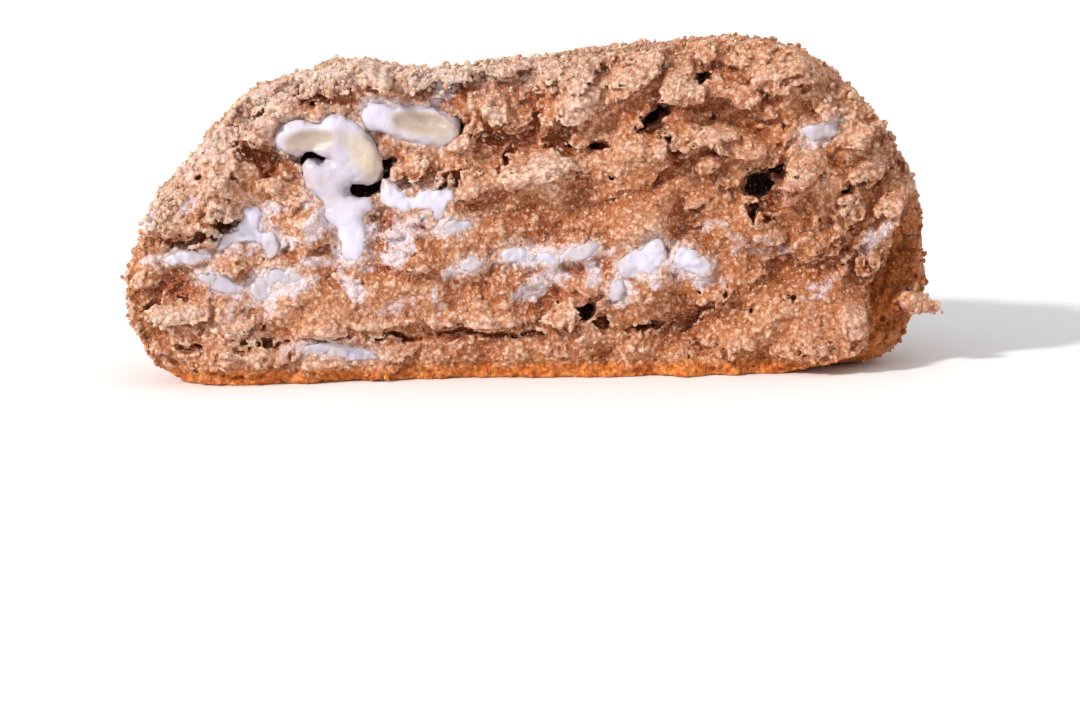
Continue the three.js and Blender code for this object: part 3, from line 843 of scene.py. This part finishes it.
def dough_field(grid):
    """The field of the dough, and the smooth field that it departs from."""
    x, y, z = grid.points()
    crust = cookie_distance(x, y, z).astype(np.float32)
    flat_x, flat_z = np.broadcast_arrays(x[:, 0, :], z[:, 0, :])
    broad = broad_break(flat_x, flat_z)
    away = rising(chocolate_gap(flat_x, flat_z), -0.4, 1.5)
    calm = 1 - 0.5 * mask_of(MOIST, flat_x, flat_z, 0.5)
    lumpy = broad + away * lumps(FINE_LUMPS, flat_x, 0 * flat_x, flat_z) * calm
    lumpy = lumpy + RIDGE_DROP * beyond_ridge(flat_x, flat_z)
    rough_break = (lumpy[:, None, :] - y).astype(np.float32)
    front = np.searchsorted(grid.axes[1], BACK_FROM)
    face_y = (lumpy - relief(flat_x, flat_z)).astype(np.float32)
    slope = np.hypot(*np.gradient(face_y, STEP))
    steepness = np.sqrt(1 + np.minimum(slope, 2.0) ** 2).astype(np.float32)
    rough_break[:, :front] -= drooping(relief, grid.axes[0], grid.axes[1][:front], grid.axes[2])
    rough_break[:, :front] /= steepness[:, None, :]
    smooth = np.maximum(crust, (broad[:, None, :] - y).astype(np.float32))
    field = np.maximum(crust, rough_break)
    add_flakes(field, grid, face_y)
    add_knobs(field, grid)
    cut_holes(field, grid)
    add_crumb(field, grid, rough_break, crust)
    cut_sockets(field, grid)
    np.maximum(field, -np.broadcast_to(z, field.shape), out=field)
    return field, smooth


# ---------------------------------------------------------------- surface of a field
CORNERS = np.array(CUBE)
PAIRS = itertools.combinations(range(len(CORNERS)), 2)
CELL_EDGES = [(a, b) for a, b in PAIRS if np.abs(CORNERS[a] - CORNERS[b]).sum() == 1]


def surface_of(grid, field):
    """Points and quads of the surface where the field is zero: one point in each cell that it crosses."""
    inside = field < 0
    shape = [n - 1 for n in field.shape]
    count = np.zeros(shape, np.uint8)
    for i, j, k in CORNERS:
        count += inside[i : i + shape[0], j : j + shape[1], k : k + shape[2]]
    cells = np.argwhere((count > 0) & (count < 8))
    values = np.stack([field[tuple((cells + c).T)] for c in CORNERS], axis=1)
    total = np.zeros((len(cells), 3), np.float32)
    crossings = np.zeros(len(cells), np.float32)
    for a, b in CELL_EDGES:
        crossed = (values[:, a] < 0) != (values[:, b] < 0)
        span = np.where(crossed, values[:, a] - values[:, b], 1)
        share = (values[:, a] / span)[:, None]
        total += crossed[:, None] * (CORNERS[a] + share * (CORNERS[b] - CORNERS[a]))
        crossings += crossed
    points = grid.place(cells + total / crossings[:, None])

    number = np.full(shape, -1, np.int32)
    number[tuple(cells.T)] = np.arange(len(cells))
    quads = []
    for axis in range(3):
        b, c = (axis + 1) % 3, (axis + 2) % 3
        ends = []
        for part in (slice(0, -1), slice(1, None)):
            where = [slice(1, -1)] * 3
            where[axis] = part
            ends.append(inside[tuple(where)])
        at = np.argwhere(ends[0] != ends[1])
        leaving = ends[0][tuple(at.T)]
        at[:, [b, c]] += 1
        ring = []
        for back_b, back_c in ((1, 1), (0, 1), (0, 0), (1, 0)):
            cell = at.copy()
            cell[:, b] -= back_b
            cell[:, c] -= back_c
            ring.append(number[tuple(cell.T)])
        quad = np.stack(ring, axis=1)
        quad[~leaving] = quad[~leaving][:, ::-1]
        quads.append(quad)
    return points, np.concatenate(quads)


def biggest_piece(points, quads):
    """Leaves out everything that isn't joined to the biggest piece."""
    label = np.arange(len(points))
    ends = np.concatenate([quads[:, [0, 1]], quads[:, [1, 2]], quads[:, [2, 3]]]).T
    while True:
        lower = label.copy()
        least = np.minimum(label[ends[0]], label[ends[1]])
        np.minimum.at(lower, ends[0], least)
        np.minimum.at(lower, ends[1], least)
        lower = lower[lower]
        if np.array_equal(lower, label):
            break
        label = lower
    kept = label == np.bincount(label).argmax()
    renumbered = np.cumsum(kept) - 1
    return points[kept], renumbered[quads[kept[quads[:, 0]]]]


def mesh_of(name, points, faces, smooth=True):
    """A Blender mesh from points in millimetres."""
    mesh = bpy.data.meshes.new(name)
    sides = faces.shape[1]
    mesh.vertices.add(len(points))
    mesh.vertices.foreach_set("co", (points * MM).astype(np.float32).ravel())
    mesh.loops.add(faces.size)
    mesh.loops.foreach_set("vertex_index", faces.astype(np.int32).ravel())
    mesh.polygons.add(len(faces))
    mesh.polygons.foreach_set("loop_start", np.arange(0, faces.size, sides, dtype=np.int32))
    mesh.update(calc_edges=True)
    mesh.polygons.foreach_set("use_smooth", np.full(len(faces), smooth))
    mesh.validate()
    return mesh


def placed(name, data):
    """A new object in the scene."""
    thing = bpy.data.objects.new(name, data)
    bpy.context.scene.collection.objects.link(thing)
    return thing


def piece(name, mesh, material, slot, *replaced):
    """A piece of the cookie that rides on its one body."""
    thing = placed(name, mesh)
    mesh.materials.append(material)
    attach(thing, "root")
    if replaced:
        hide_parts(*replaced)
    return thing


def corners_of(mesh):
    """The points of a mesh in millimetres."""
    points = np.empty(len(mesh.vertices) * 3, np.float32)
    mesh.vertices.foreach_get("co", points)
    return points.reshape(-1, 3) / MM


def outward_of(mesh):
    normals = np.empty(len(mesh.vertices) * 3, np.float32)
    mesh.vertices.foreach_get("normal", normals)
    return normals.reshape(-1, 3)


def add_attributes(mesh, **layers):
    """Numbers at the points of a mesh, which its material reads by their names."""
    for name, values in layers.items():
        layer = mesh.attributes.new(name, "FLOAT", "POINT")
        layer.data.foreach_set("value", np.asarray(values, np.float32))


# ---------------------------------------------------------------- materials
def colour(code):
    """Linear colour of a hex code."""
    parts = [int(code[i : i + 2], 16) / 255 for i in (0, 2, 4)]
    return (*[p / 12.92 if p <= 0.04045 else ((p + 0.055) / 1.055) ** 2.4 for p in parts], 1.0)


class Nodes:
    """Short calls for the nodes of one material."""

    def __init__(self, name):
        self.material = bpy.data.materials.new(name)
        self.material.use_nodes = True
        self.tree = self.material.node_tree
        self.tree.nodes.clear()
        place = self.add("ShaderNodeTexCoord")
        inputs = {0: place.outputs["Object"], 1: (1 / MM,) * 3}
        self.place = self.add("ShaderNodeVectorMath", inputs, operation="MULTIPLY")

    def add(self, kind, inputs=None, **settings):
        node = self.tree.nodes.new(kind)
        for name, value in settings.items():
            setattr(node, name, value)
        for name, value in (inputs or {}).items():
            if isinstance(value, bpy.types.Node):
                value = value.outputs[0]
            if isinstance(value, bpy.types.NodeSocket):
                self.tree.links.new(value, node.inputs[name])
            else:
                node.inputs[name].default_value = value
        return node

    def noise(self, size, detail=2.0, roughness=0.5):
        """Noise with lumps of that size in millimetres, between about 0 and 1."""
        inputs = {"Vector": self.place, "Scale": 1 / size, "Detail": detail, "Roughness": roughness}
        return self.add("ShaderNodeTexNoise", inputs).outputs[0]

    def cells(self, size):
        """Cells of that size: distance from the middle, and a random colour."""
        return self.add("ShaderNodeTexVoronoi", {"Vector": self.place, "Scale": 1 / size}).outputs

    def attribute(self, name):
        return self.add("ShaderNodeAttribute", attribute_name=name).outputs["Fac"]

    def ramp(self, value, low, high, to_low=0.0, to_high=1.0):
        """The value between low and high, spread smoothly from to_low to to_high."""
        inputs = {"Value": value, "From Min": low, "From Max": high, "To Min": to_low, "To Max": to_high}
        return self.add("ShaderNodeMapRange", inputs, interpolation_type="SMOOTHSTEP").outputs[0]

    def maths(self, operation, a, b):
        return self.add("ShaderNodeMath", {0: a, 1: b}, operation=operation).outputs[0]

    def plus(self, a, b):
        return self.maths("ADD", a, b)

    def times(self, a, b):
        return self.maths("MULTIPLY", a, b)

    def blend(self, factor, a, b):
        node = self.add("ShaderNodeMix", data_type="RGBA")
        for socket, value in ((node.inputs[0], factor), (node.inputs[6], a), (node.inputs[7], b)):
            if isinstance(value, bpy.types.NodeSocket):
                self.tree.links.new(value, socket)
            else:
                socket.default_value = value
        return node.outputs[2]

    def tint(self, shade, factor, code):
        """The shade turned towards a colour."""
        return self.blend(factor, shade, colour(code))

    def random_of(self, cells):
        """A random number for each cell."""
        return self.add("ShaderNodeSeparateColor", {0: cells["Color"]}).outputs[0]

    def finish(self, **inputs):
        shader = self.add("ShaderNodeBsdfPrincipled", {k.replace("_", " "): v for k, v in inputs.items()})
        self.add("ShaderNodeOutputMaterial", {"Surface": shader.outputs[0]})
        return self.material


GLINT = 0.35  # how far the facets of the sugar in the dough turn


def dough_material():
    m = Nodes("dough")
    cavity = m.attribute("cavity")
    crust = m.attribute("crust")
    browned = m.attribute("browned")

    patches = m.noise(5, 3, 0.6)
    mottle = m.noise(0.9, 3, 0.7)
    grit = m.noise(0.22, 2, 0.6)

    height = m.plus(m.attribute("relief"), m.ramp(patches, 0.35, 0.65, -0.35, 0.35))
    height = m.plus(height, m.ramp(mottle, 0.3, 0.7, -0.45, 0.45))
    height = m.plus(height, m.times(m.attribute("tone"), 0.25))
    height = m.plus(height, m.times(m.attribute("pale"), 0.45))
    shade = m.blend(m.ramp(height, -1.4, -0.2), colour("904611"), colour("b67446"))
    shade = m.tint(shade, m.ramp(height, -0.2, 0.9), "ca936c")
    shade = m.tint(shade, m.ramp(height, 0.9, 2.4), "dab8a2")
    rim = m.times(m.attribute("rim"), m.ramp(mottle, 0.3, 0.6, 0.2, 0.8))
    shade = m.blend(rim, shade, m.blend(browned, colour("d4ae96"), colour("c28650")))
    shade = m.tint(shade, m.times(m.attribute("sugared"), 0.85), "d0b6aa")
    # painted highlight: paler on the edges and tips that stand out
    shade = m.tint(shade, m.ramp(cavity, 0.05, 0.6, 0.0, 0.75), "e8cab6")
    orange = m.times(m.attribute("orange"), m.ramp(height, 0.6, -0.4, 0.3, 0.9))
    shade = m.tint(shade, orange, "9c501c")
    # painted shade: darker orange brown where the surface curves in, in creases and between crumbs
    shade = m.tint(shade, m.ramp(cavity, -0.1, -0.9, 0.0, 0.5), "92440c")
    # painted light: the right side made warmer, as a warmer light there would
    shade = m.tint(shade, m.times(m.attribute("golden"), 0.35), "b87438")
    shade = m.tint(shade, m.times(m.attribute("moist"), 0.25), "b4703f")

    top = m.blend(m.ramp(mottle, 0.35, 0.65), colour("ae8464"), colour("c6a48c"))
    # painted shade in the creases of the top crust
    top = m.tint(top, m.ramp(cavity, -0.05, -0.8), "925026")
    side = m.blend(m.ramp(mottle, 0.3, 0.7), colour("8a420c"), colour("c67a30"))
    # painted shade in the creases of the side crust
    side = m.tint(side, m.ramp(cavity, -0.05, -0.8), "682a06")
    shade = m.blend(crust, shade, m.blend(browned, top, side))
    base = m.blend(m.ramp(mottle, 0.3, 0.7), colour("c45c10"), colour("f09c4c"))
    shade = m.blend(m.attribute("base"), shade, base)

    buttery = m.times(m.attribute("halo"), m.ramp(mottle, 0.35, 0.6, 0.15, 0.75))
    shade = m.tint(shade, buttery, "dcc2b4")
    streaks = m.ramp(m.noise(1.3, 3, 0.6), 0.3, 0.7, -0.3, 0.3)
    smeared = m.ramp(m.plus(m.attribute("milk"), streaks), 0.15, 0.9, 0.0, 0.92)
    shade = m.blend(smeared, shade, m.blend(m.ramp(grit, 0.35, 0.6), colour("d8c2be"), colour("eadee8")))
    calm = m.maths("MAXIMUM", m.times(crust, browned), m.attribute("base"))
    plain = m.ramp(calm, 0.0, 1.0, 1.0, 0.25)
    gritty = m.ramp(m.maths("MAXIMUM", smeared, m.attribute("sugared")), 0.0, 1.0, 1.0, 0.35)

    # painted shade: the dough turned deep orange brown in narrow gaps, less near the chocolate
    shut = m.times(gritty, m.ramp(m.attribute("shut"), 0.25, 0.8, 0.0, 0.75))
    shut = m.times(shut, m.ramp(m.attribute("halo"), 0.0, 1.0, 1.0, 0.2))
    shade = m.tint(shade, shut, "94440e")
    # painted shade: near black at the bottoms of deep holes, off the crust
    deep = m.times(m.ramp(m.attribute("relief"), -2.4, -4.4), m.ramp(m.attribute("crust"), 0.6, 0.1))
    shade = m.tint(shade, deep, "180902")
    granule = m.cells(0.55)
    lit = m.times(plain, m.ramp(m.random_of(granule), 0.2, 1.0, 0.1, 0.7))
    # painted shade in the gaps between granules
    between = m.times(gritty, m.ramp(granule["Distance"], 0.4, 0.75, 0.0, 0.5))
    shade = m.tint(shade, between, "94440e")
    top_lit = m.times(lit, m.ramp(granule["Distance"], 0.45, 0.1))
    shade = m.tint(shade, top_lit, "f3dacb")
    # painted glints: small pale specks
    shade = m.tint(shade, m.times(plain, m.ramp(grit, 0.54, 0.68, 0.0, 0.3)), "f2dad0")
    shade = m.tint(shade, m.times(gritty, m.ramp(grit, 0.45, 0.3, 0.0, 0.25)), "80380e")
    # painted glints: a few cells made almost white, standing in for sparkle
    glint_cells = m.cells(0.3)
    chosen = m.times(plain, m.ramp(m.random_of(glint_cells), 0.86, 0.92))
    painted_glints = m.times(chosen, m.ramp(glint_cells["Distance"], 0.5, 0.3, 0.0, 0.35))
    shade = m.tint(shade, painted_glints, "f6e2d4")
    spice = m.ramp(m.cells(1.9)["Distance"], 0.07, 0.05, 0.0, 0.85)
    shade = m.tint(shade, spice, "241008")

    bumps = m.plus(grit, m.times(granule["Distance"], -0.9))
    bumps = m.plus(bumps, m.times(m.cells(0.33)["Distance"], -0.5))
    bump = m.add("ShaderNodeBump", {"Height": bumps, "Strength": 0.85, "Distance": 0.26 * MM})
    tilts = m.add("ShaderNodeVectorMath", {0: m.cells(0.2)["Color"], 1: (0.5,) * 3}, operation="SUBTRACT")
    tilted = {0: tilts, 1: (GLINT,) * 3, 2: bump.outputs[0]}
    facets = m.add("ShaderNodeVectorMath", tilted, operation="MULTIPLY_ADD")
    normal = m.add("ShaderNodeVectorMath", {0: facets}, operation="NORMALIZE")
    return m.finish(
        Base_Color=shade,
        Roughness=m.ramp(m.noise(0.5, 2), 0.4, 0.6, 0.25, 0.55),
        Normal=normal.outputs[0],
        Subsurface_Weight=0.7,
        Subsurface_Radius=(1.0, 0.4, 0.15),
        Subsurface_Scale=0.9 * MM,
        Specular_IOR_Level=0.35,
        Specular_Tint=colour("ffe6d8"),
    )


def chocolate_material():
    m = Nodes("white_chocolate")
    mottle = m.noise(1.6, 2, 0.5)
    shade = m.blend(m.ramp(mottle, 0.35, 0.65), colour("c2b6ba"), colour("c2bacb"))
    # whiter chocolate, and painted highlight where the pieces catch the light
    shade = m.tint(shade, m.attribute("white"), "d8d4e6")
    # painted shade: yellower cream on the shaded sides of the hook and the slab
    shade = m.tint(shade, m.attribute("cream"), "cab89e")
    # painted shade: darker beige in the scoops of the melted pieces
    shade = m.tint(shade, m.attribute("hollow"), "b8a696")
    stained = m.plus(m.attribute("edge"), m.ramp(m.noise(0.7, 3, 0.6), 0.35, 0.65, -0.3, 0.3))
    shade = m.tint(shade, m.ramp(stained, 0.3, 1.1, 0.0, 0.6), "c8a898")
    rough = m.plus(m.noise(0.8, 2, 0.5), m.times(m.noise(0.3, 2, 0.5), 0.3))
    bump = m.add("ShaderNodeBump", {"Height": rough, "Strength": 0.3, "Distance": 0.3 * MM})
    return m.finish(
        Base_Color=shade,
        Roughness=m.ramp(mottle, 0.3, 0.7, 0.28, 0.42),
        Normal=bump.outputs[0],
        Subsurface_Weight=0.3,
        Subsurface_Radius=(1.0, 0.85, 0.6),
        Subsurface_Scale=1.2 * MM,
        Specular_IOR_Level=0.5,
    )


def sugar_material():
    m = Nodes("sugar")
    shade = m.blend(m.ramp(m.noise(2.5, 2, 0.5), 0.35, 0.65), colour("c09070"), colour("e2c9b6"))
    shade = m.tint(shade, m.times(m.attribute("browned"), 0.8), "b07040")
    return m.finish(
        Base_Color=shade,
        Roughness=0.25,
        Subsurface_Weight=0.3,
        Subsurface_Radius=(1.0, 0.7, 0.45),
        Subsurface_Scale=0.5 * MM,
        Specular_IOR_Level=0.6,
    )


# ---------------------------------------------------------------- the dough
DOUGH_SHARE_KEPT = 0.6
SHUT_REACHES = (0.7, 1.6, 3.2)


def standing_out(mesh, rounds):
    """How far each point of a mesh stands out of its surroundings, in millimetres."""
    points = corners_of(mesh)
    ends = np.empty(len(mesh.edges) * 2, np.int32)
    mesh.edges.foreach_get("vertices", ends)
    ends = ends.reshape(-1, 2)
    both = np.concatenate([ends[:, 0], ends[:, 1]])
    other = np.concatenate([ends[:, 1], ends[:, 0]])
    links = np.maximum(np.bincount(both, minlength=len(points)), 1)
    mean = points
    for _ in range(rounds):
        mean = np.stack([np.bincount(both, mean[other, a], len(points)) / links for a in range(3)], axis=1)
    return ((points - mean) * outward_of(mesh)).sum(axis=1)


def thin_out(mesh, share):
    """Fewer faces where the surface is smooth."""
    thing = placed("thinned", mesh)
    modifier = thing.modifiers.new("thin", "DECIMATE")
    modifier.ratio = share
    made = bpy.data.meshes.new_from_object(thing.evaluated_get(bpy.context.evaluated_depsgraph_get()))
    bpy.data.objects.remove(thing)
    bpy.data.meshes.remove(mesh)
    made.polygons.foreach_set("use_smooth", np.full(len(made.polygons), True))
    made.update()
    return made


def shut_in(grid, field, points, outward):
    """How much dough lies round each point outside it: 0 in the open, 1 in a narrow gap, where the dough
    gets painted shade.
    """
    shares = [sample(grid, field, points + far * outward) / far for far in SHUT_REACHES]
    return clamp01(1 - sum(np.clip(share, 0, 1) for share in shares) / len(shares))


def flat_mask(ovals, x, z, soft, size):
    """1 inside the ovals, with ragged edges."""
    return mask_of([oval._replace(depth=1) for oval in ovals], x, z, soft, 0.4, size)


def add_dough_attributes(mesh, grid, field, smooth):
    """What the material of the dough needs to know at each point."""
    points = corners_of(mesh)
    x, y, z = points.T
    crust_depth = -cookie_distance(x, y, z)
    behind = y - broad_break(x, z)
    near_break = falling(behind, 2.5, 5.0)
    wobble = 0.5 * noise(x, y, z, 1.5)
    # painted light: a share that rises to the right, warming the colour there as a warmer light would, and
    # browning the crust there
    golden = rising(x + 4 * noise(x, y, z, 8), 0, 30)
    on_crust = np.maximum(rising(behind - crust_depth + wobble, 0.2, 1.8), beyond_ridge(x, z))
    to_knobs = [np.linalg.norm(points - knob.middle, axis=1) - max(knob.half) for knob in KNOBS]
    sugary = falling(crust_depth + 2 * wobble, 1.0, 3.5) * rising(z + 3 * wobble, 18, 26)
    add_attributes(
        mesh,
        golden=golden,
        crust=on_crust * rising(np.min(to_knobs, axis=0), 0.2, 1.2),
        rim=falling(crust_depth + 2 * wobble, 1.5, 4.5) * near_break,
        sugared=sugary * falling(x, -12, 10),
        relief=np.clip(sample(grid, smooth, points), -6, 3),
        # how shut in each point is, for the painted shade in gaps
        shut=shut_in(grid, field, points, outward_of(mesh)),
        # how far each point stands out or sinks in: the material paints shade into sunk points and highlight
        # onto standing ones
        cavity=np.clip(standing_out(mesh, 6) / 0.3, -1, 1),
        moist=mask_of(MOIST, x, z, 0.5) * near_break,
        orange=flat_mask(HOLLOWS, x, z, 0.3, 1.2) * near_break,
        pale=flat_mask(CRAGS, x, z, 0.2, 1.0) * near_break,
        milk=mask_of(SMEARS, x, z, 0.5, 0.4, 1.1) * near_break,
        halo=falling(chocolate_gap(x, z) + wobble, 0.2, 1.4) * near_break,
        # browner low down, and to the right through the golden share, which is painted warm light
        browned=1 - rising(z + 3 * noise(x, y, z, 6), 12, 26) * (1 - 0.45 * golden),
        tone=grains(x, y, z, BREAK_CRUMB[1][0])[1],
        base=falling(z + 0.5 * noise(x, y, z, 3) + 0.3 * noise(x, y, z, 1), 1.0, 2.2),
    )


def make_dough():
    x, y, z = (spread(low, high, STEP) for low, high in zip(LOW, HIGH))
    y = np.concatenate([y[y < BACK_FROM], spread(BACK_FROM, HIGH[1], STEP * BACK_STEP)])
    grid = Grid(x, y, z)
    field, smooth = dough_field(grid)
    mesh = mesh_of("cookie_half_crumb", *biggest_piece(*surface_of(grid, field)))
    if DOUGH_SHARE_KEPT < 1:
        mesh = thin_out(mesh, DOUGH_SHARE_KEPT)
    add_dough_attributes(mesh, grid, field, smooth)
    return piece("cookie_half_crumb", mesh, dough_material(), "dough", "cookie_half")


# ---------------------------------------------------------------- the chocolate
CHOCOLATE_STEP = 0.18


def make_chocolate(name, material):
    grid = Grid(*(spread(*ends, CHOCOLATE_STEP) for ends in zip(*reach_of_piece(name))))
    x, y, z = grid.points()
    field = chocolate_distance(name, x, y, z)
    bumps = FINISHES[name].bumps
    field = field + 0.6 * bumps * noise(x, y, z, 1.1) + 0.3 * bumps * noise(x, y, z, 0.5)
    mesh = mesh_of(name + "_glossy", *biggest_piece(*surface_of(grid, field)))
    x, y, z = corners_of(mesh).T
    add_attributes(
        mesh,
        hollow=falling(scooped(name, x, y, z), 0.0, 0.6),
        cream=mask_of(CREAM_SHADE, x, z, 0.6),
        white=mask_of(WHITER_AND_LIT, x, z, 0.6),
        edge=float(FINISHES[name] is BROKEN) * rising(chocolate_gap(x, z), -0.5, 0.1),
    )
    return piece(name + "_glossy", mesh, material, "white_chocolate", name)


# ---------------------------------------------------------------- strewn grains
SUGAR_COUNT = 3000
CRUMB_COUNT = 4200
SUGAR_SIZE = (0.14, 0.44)  # smallest and largest radius
CRUMB_SIZE = (0.14, 0.42)
GRAIN_SINK = 0.3  # share of a grain that is in the dough
GRAIN_LOWEST = 0.02


def strewn(name, dough, chosen, size, seed, material):
    """Small angular balls at chosen points of the dough, joined in one mesh, with the dough's attributes."""
    draw = np.random.default_rng(seed)
    base, faces = ball()
    count = len(chosen)
    at, outward = corners_of(dough.data)[chosen], outward_of(dough.data)[chosen]
    turns = draw.normal(size=(4, count))
    w, a, b, c = turns / np.linalg.norm(turns, axis=0)
    rotation = np.array(
        [
            [1 - 2 * (b * b + c * c), 2 * (a * b - c * w), 2 * (a * c + b * w)],
            [2 * (a * b + c * w), 1 - 2 * (a * a + c * c), 2 * (b * c - a * w)],
            [2 * (a * c - b * w), 2 * (b * c + a * w), 1 - 2 * (a * a + b * b)],
        ]
    )
    low, high = size
    radius = low + (high - low) * draw.uniform(0, 1, count) ** 2.5
    stretch = draw.uniform(0.7, 1.3, (count, 1, 3))
    local = base * stretch * draw.uniform(0.8, 1.2, (count, len(base), 1)) * radius[:, None, None]
    middle = at + outward * (radius * (1 - 2 * GRAIN_SINK))[:, None]
    points = np.einsum("ijn,nvj->nvi", rotation, local) + middle[:, None, :]
    points[:, :, 2] = np.maximum(points[:, :, 2], GRAIN_LOWEST)
    offsets = (np.arange(count) * len(base))[:, None, None]
    mesh = mesh_of(name, points.reshape(-1, 3), (faces + offsets).reshape(-1, faces.shape[1]), smooth=False)
    for layer in dough.data.attributes:
        if layer.data_type == "FLOAT":
            values = np.empty(len(dough.data.vertices), np.float32)
            layer.data.foreach_get("value", values)
            add_attributes(mesh, **{layer.name: np.repeat(values[chosen], len(base))})
    return piece(name, mesh, material, "dough")


def ball():
    """Points and faces of an icosahedron with a radius of 1."""
    golden = (1 + 5**0.5) / 2
    points = []
    for a, b in itertools.product((-1, 1), (-golden, golden)):
        points += [(0, a, b), (a, b, 0), (b, 0, a)]
    points = np.array(points) / math.hypot(1, golden)
    near = 2.1 / math.hypot(1, golden)
    faces = []
    for trio in itertools.combinations(range(12), 3):
        p = points[list(trio)]
        if all(np.linalg.norm(p[i] - p[j]) < near for i, j in ((0, 1), (1, 2), (2, 0))):
            faces_out = np.dot(np.cross(p[1] - p[0], p[2] - p[0]), p[0]) > 0
            faces.append(trio if faces_out else trio[::-1])
    return points, np.array(faces)


def strew_grains(dough):
    points, normals = corners_of(dough.data), outward_of(dough.data)
    x, y, z = points.T
    draw = np.random.default_rng(5)
    rim = falling(-cookie_distance(x, y, z), 0.5, 5.0)
    clumpy = rising(noise(x, y, z, 3.0), -0.3, 0.6)
    upward = rising(normals[:, 2], -0.6, 0.5)
    away = rising(chocolate_gap(x, z), 0.4, 1.0)
    low = rising(z, 0.4, 1.2)

    def chosen(weight, count):
        return draw.choice(len(points), count, replace=False, p=weight / weight.sum())

    left = falling(x, -20, 20)
    high = 0.15 + rising(z, 10, 22)
    weight = (0.12 + rim) * (0.2 + clumpy) * (0.2 + upward) * (0.3 + left) * high * away * low
    sugar = chosen(weight, SUGAR_COUNT)
    strewn("sugar_grains", dough, sugar, SUGAR_SIZE, 31, sugar_material())
    loose = chosen((0.25 + rim) * (0.25 + clumpy) * away * low, CRUMB_COUNT)
    strewn("crumb_grains", dough, loose, CRUMB_SIZE, 32, dough.data.materials[0])


# ---------------------------------------------------------------- floor, light, camera
FLOOR_HALF = 3.0  # metres


def make_floor():
    mesh = bpy.data.meshes.new("floor")
    corners = [(FLOOR_HALF * a, FLOOR_HALF * b, 0) for a, b in ((-1, -1), (1, -1), (1, 1), (-1, 1))]
    mesh.from_pydata(corners, [], [(0, 1, 2, 3)])
    floor = placed("floor", mesh)
    m = Nodes("floor")
    mesh.materials.append(m.finish(Base_Color=colour("f4f3f2"), Roughness=0.7, Specular_IOR_Level=0.2))


SUN_TOWARDS = (-0.7, -0.55, 0.58)  # the way to the light
SUN_STRENGTH = 3.05
SUN_ANGLE = math.radians(7)  # that it takes up in the sky
SUN_TINT = (1.0, 0.97, 0.93)
SKY_STRENGTH = 0.79
SKY_TINT = (0.97, 0.98, 1.0, 1)


def make_light():
    light = bpy.data.lights.new("key", "SUN")
    light.energy = SUN_STRENGTH
    light.angle = SUN_ANGLE
    light.color = SUN_TINT
    lamp = placed("key", light)
    lamp.rotation_mode = "QUATERNION"
    lamp.rotation_quaternion = Vector(SUN_TOWARDS).to_track_quat("Z", "Y")
    world = bpy.data.worlds.new("studio")
    world.use_nodes = True
    background = world.node_tree.nodes["Background"]
    background.inputs["Color"].default_value = SKY_TINT
    background.inputs["Strength"].default_value = SKY_STRENGTH
    bpy.context.scene.world = world
    bpy.context.scene.view_settings.view_transform = "Standard"


PHOTO_WIDTH = 1080
PIXELS_PER_MM = 8.7  # at the break
CAMERA_DISTANCE = 330.0
CAMERA_HEIGHT = math.radians(8.5)
CAMERA_ROLL = math.radians(1.2)
CAMERA_AIM = (0.8, BREAK_Y, 2.3)


def make_camera():
    data = bpy.data.cameras.new("camera")
    data.sensor_width = 36.0
    data.lens = data.sensor_width * PIXELS_PER_MM * CAMERA_DISTANCE / PHOTO_WIDTH
    data.clip_start = 0.01
    camera = placed("camera", data)
    forward = Vector((0, math.cos(CAMERA_HEIGHT), -math.sin(CAMERA_HEIGHT)))
    right = Vector((1, 0, 0))
    up = right.cross(forward)
    turned_right = right * math.cos(CAMERA_ROLL) - up * math.sin(CAMERA_ROLL)
    turned_up = up * math.cos(CAMERA_ROLL) + right * math.sin(CAMERA_ROLL)
    camera.matrix_world = Matrix((turned_right, turned_up, -forward)).transposed().to_4x4()
    camera.location = (Vector(CAMERA_AIM) - forward * CAMERA_DISTANCE) * MM
    bpy.context.scene.camera = camera


make_camera()
make_light()
make_floor()
dough = make_dough()
chocolate = chocolate_material()
for node_name in CHOCOLATE:
    make_chocolate(node_name, chocolate)
strew_grains(dough)
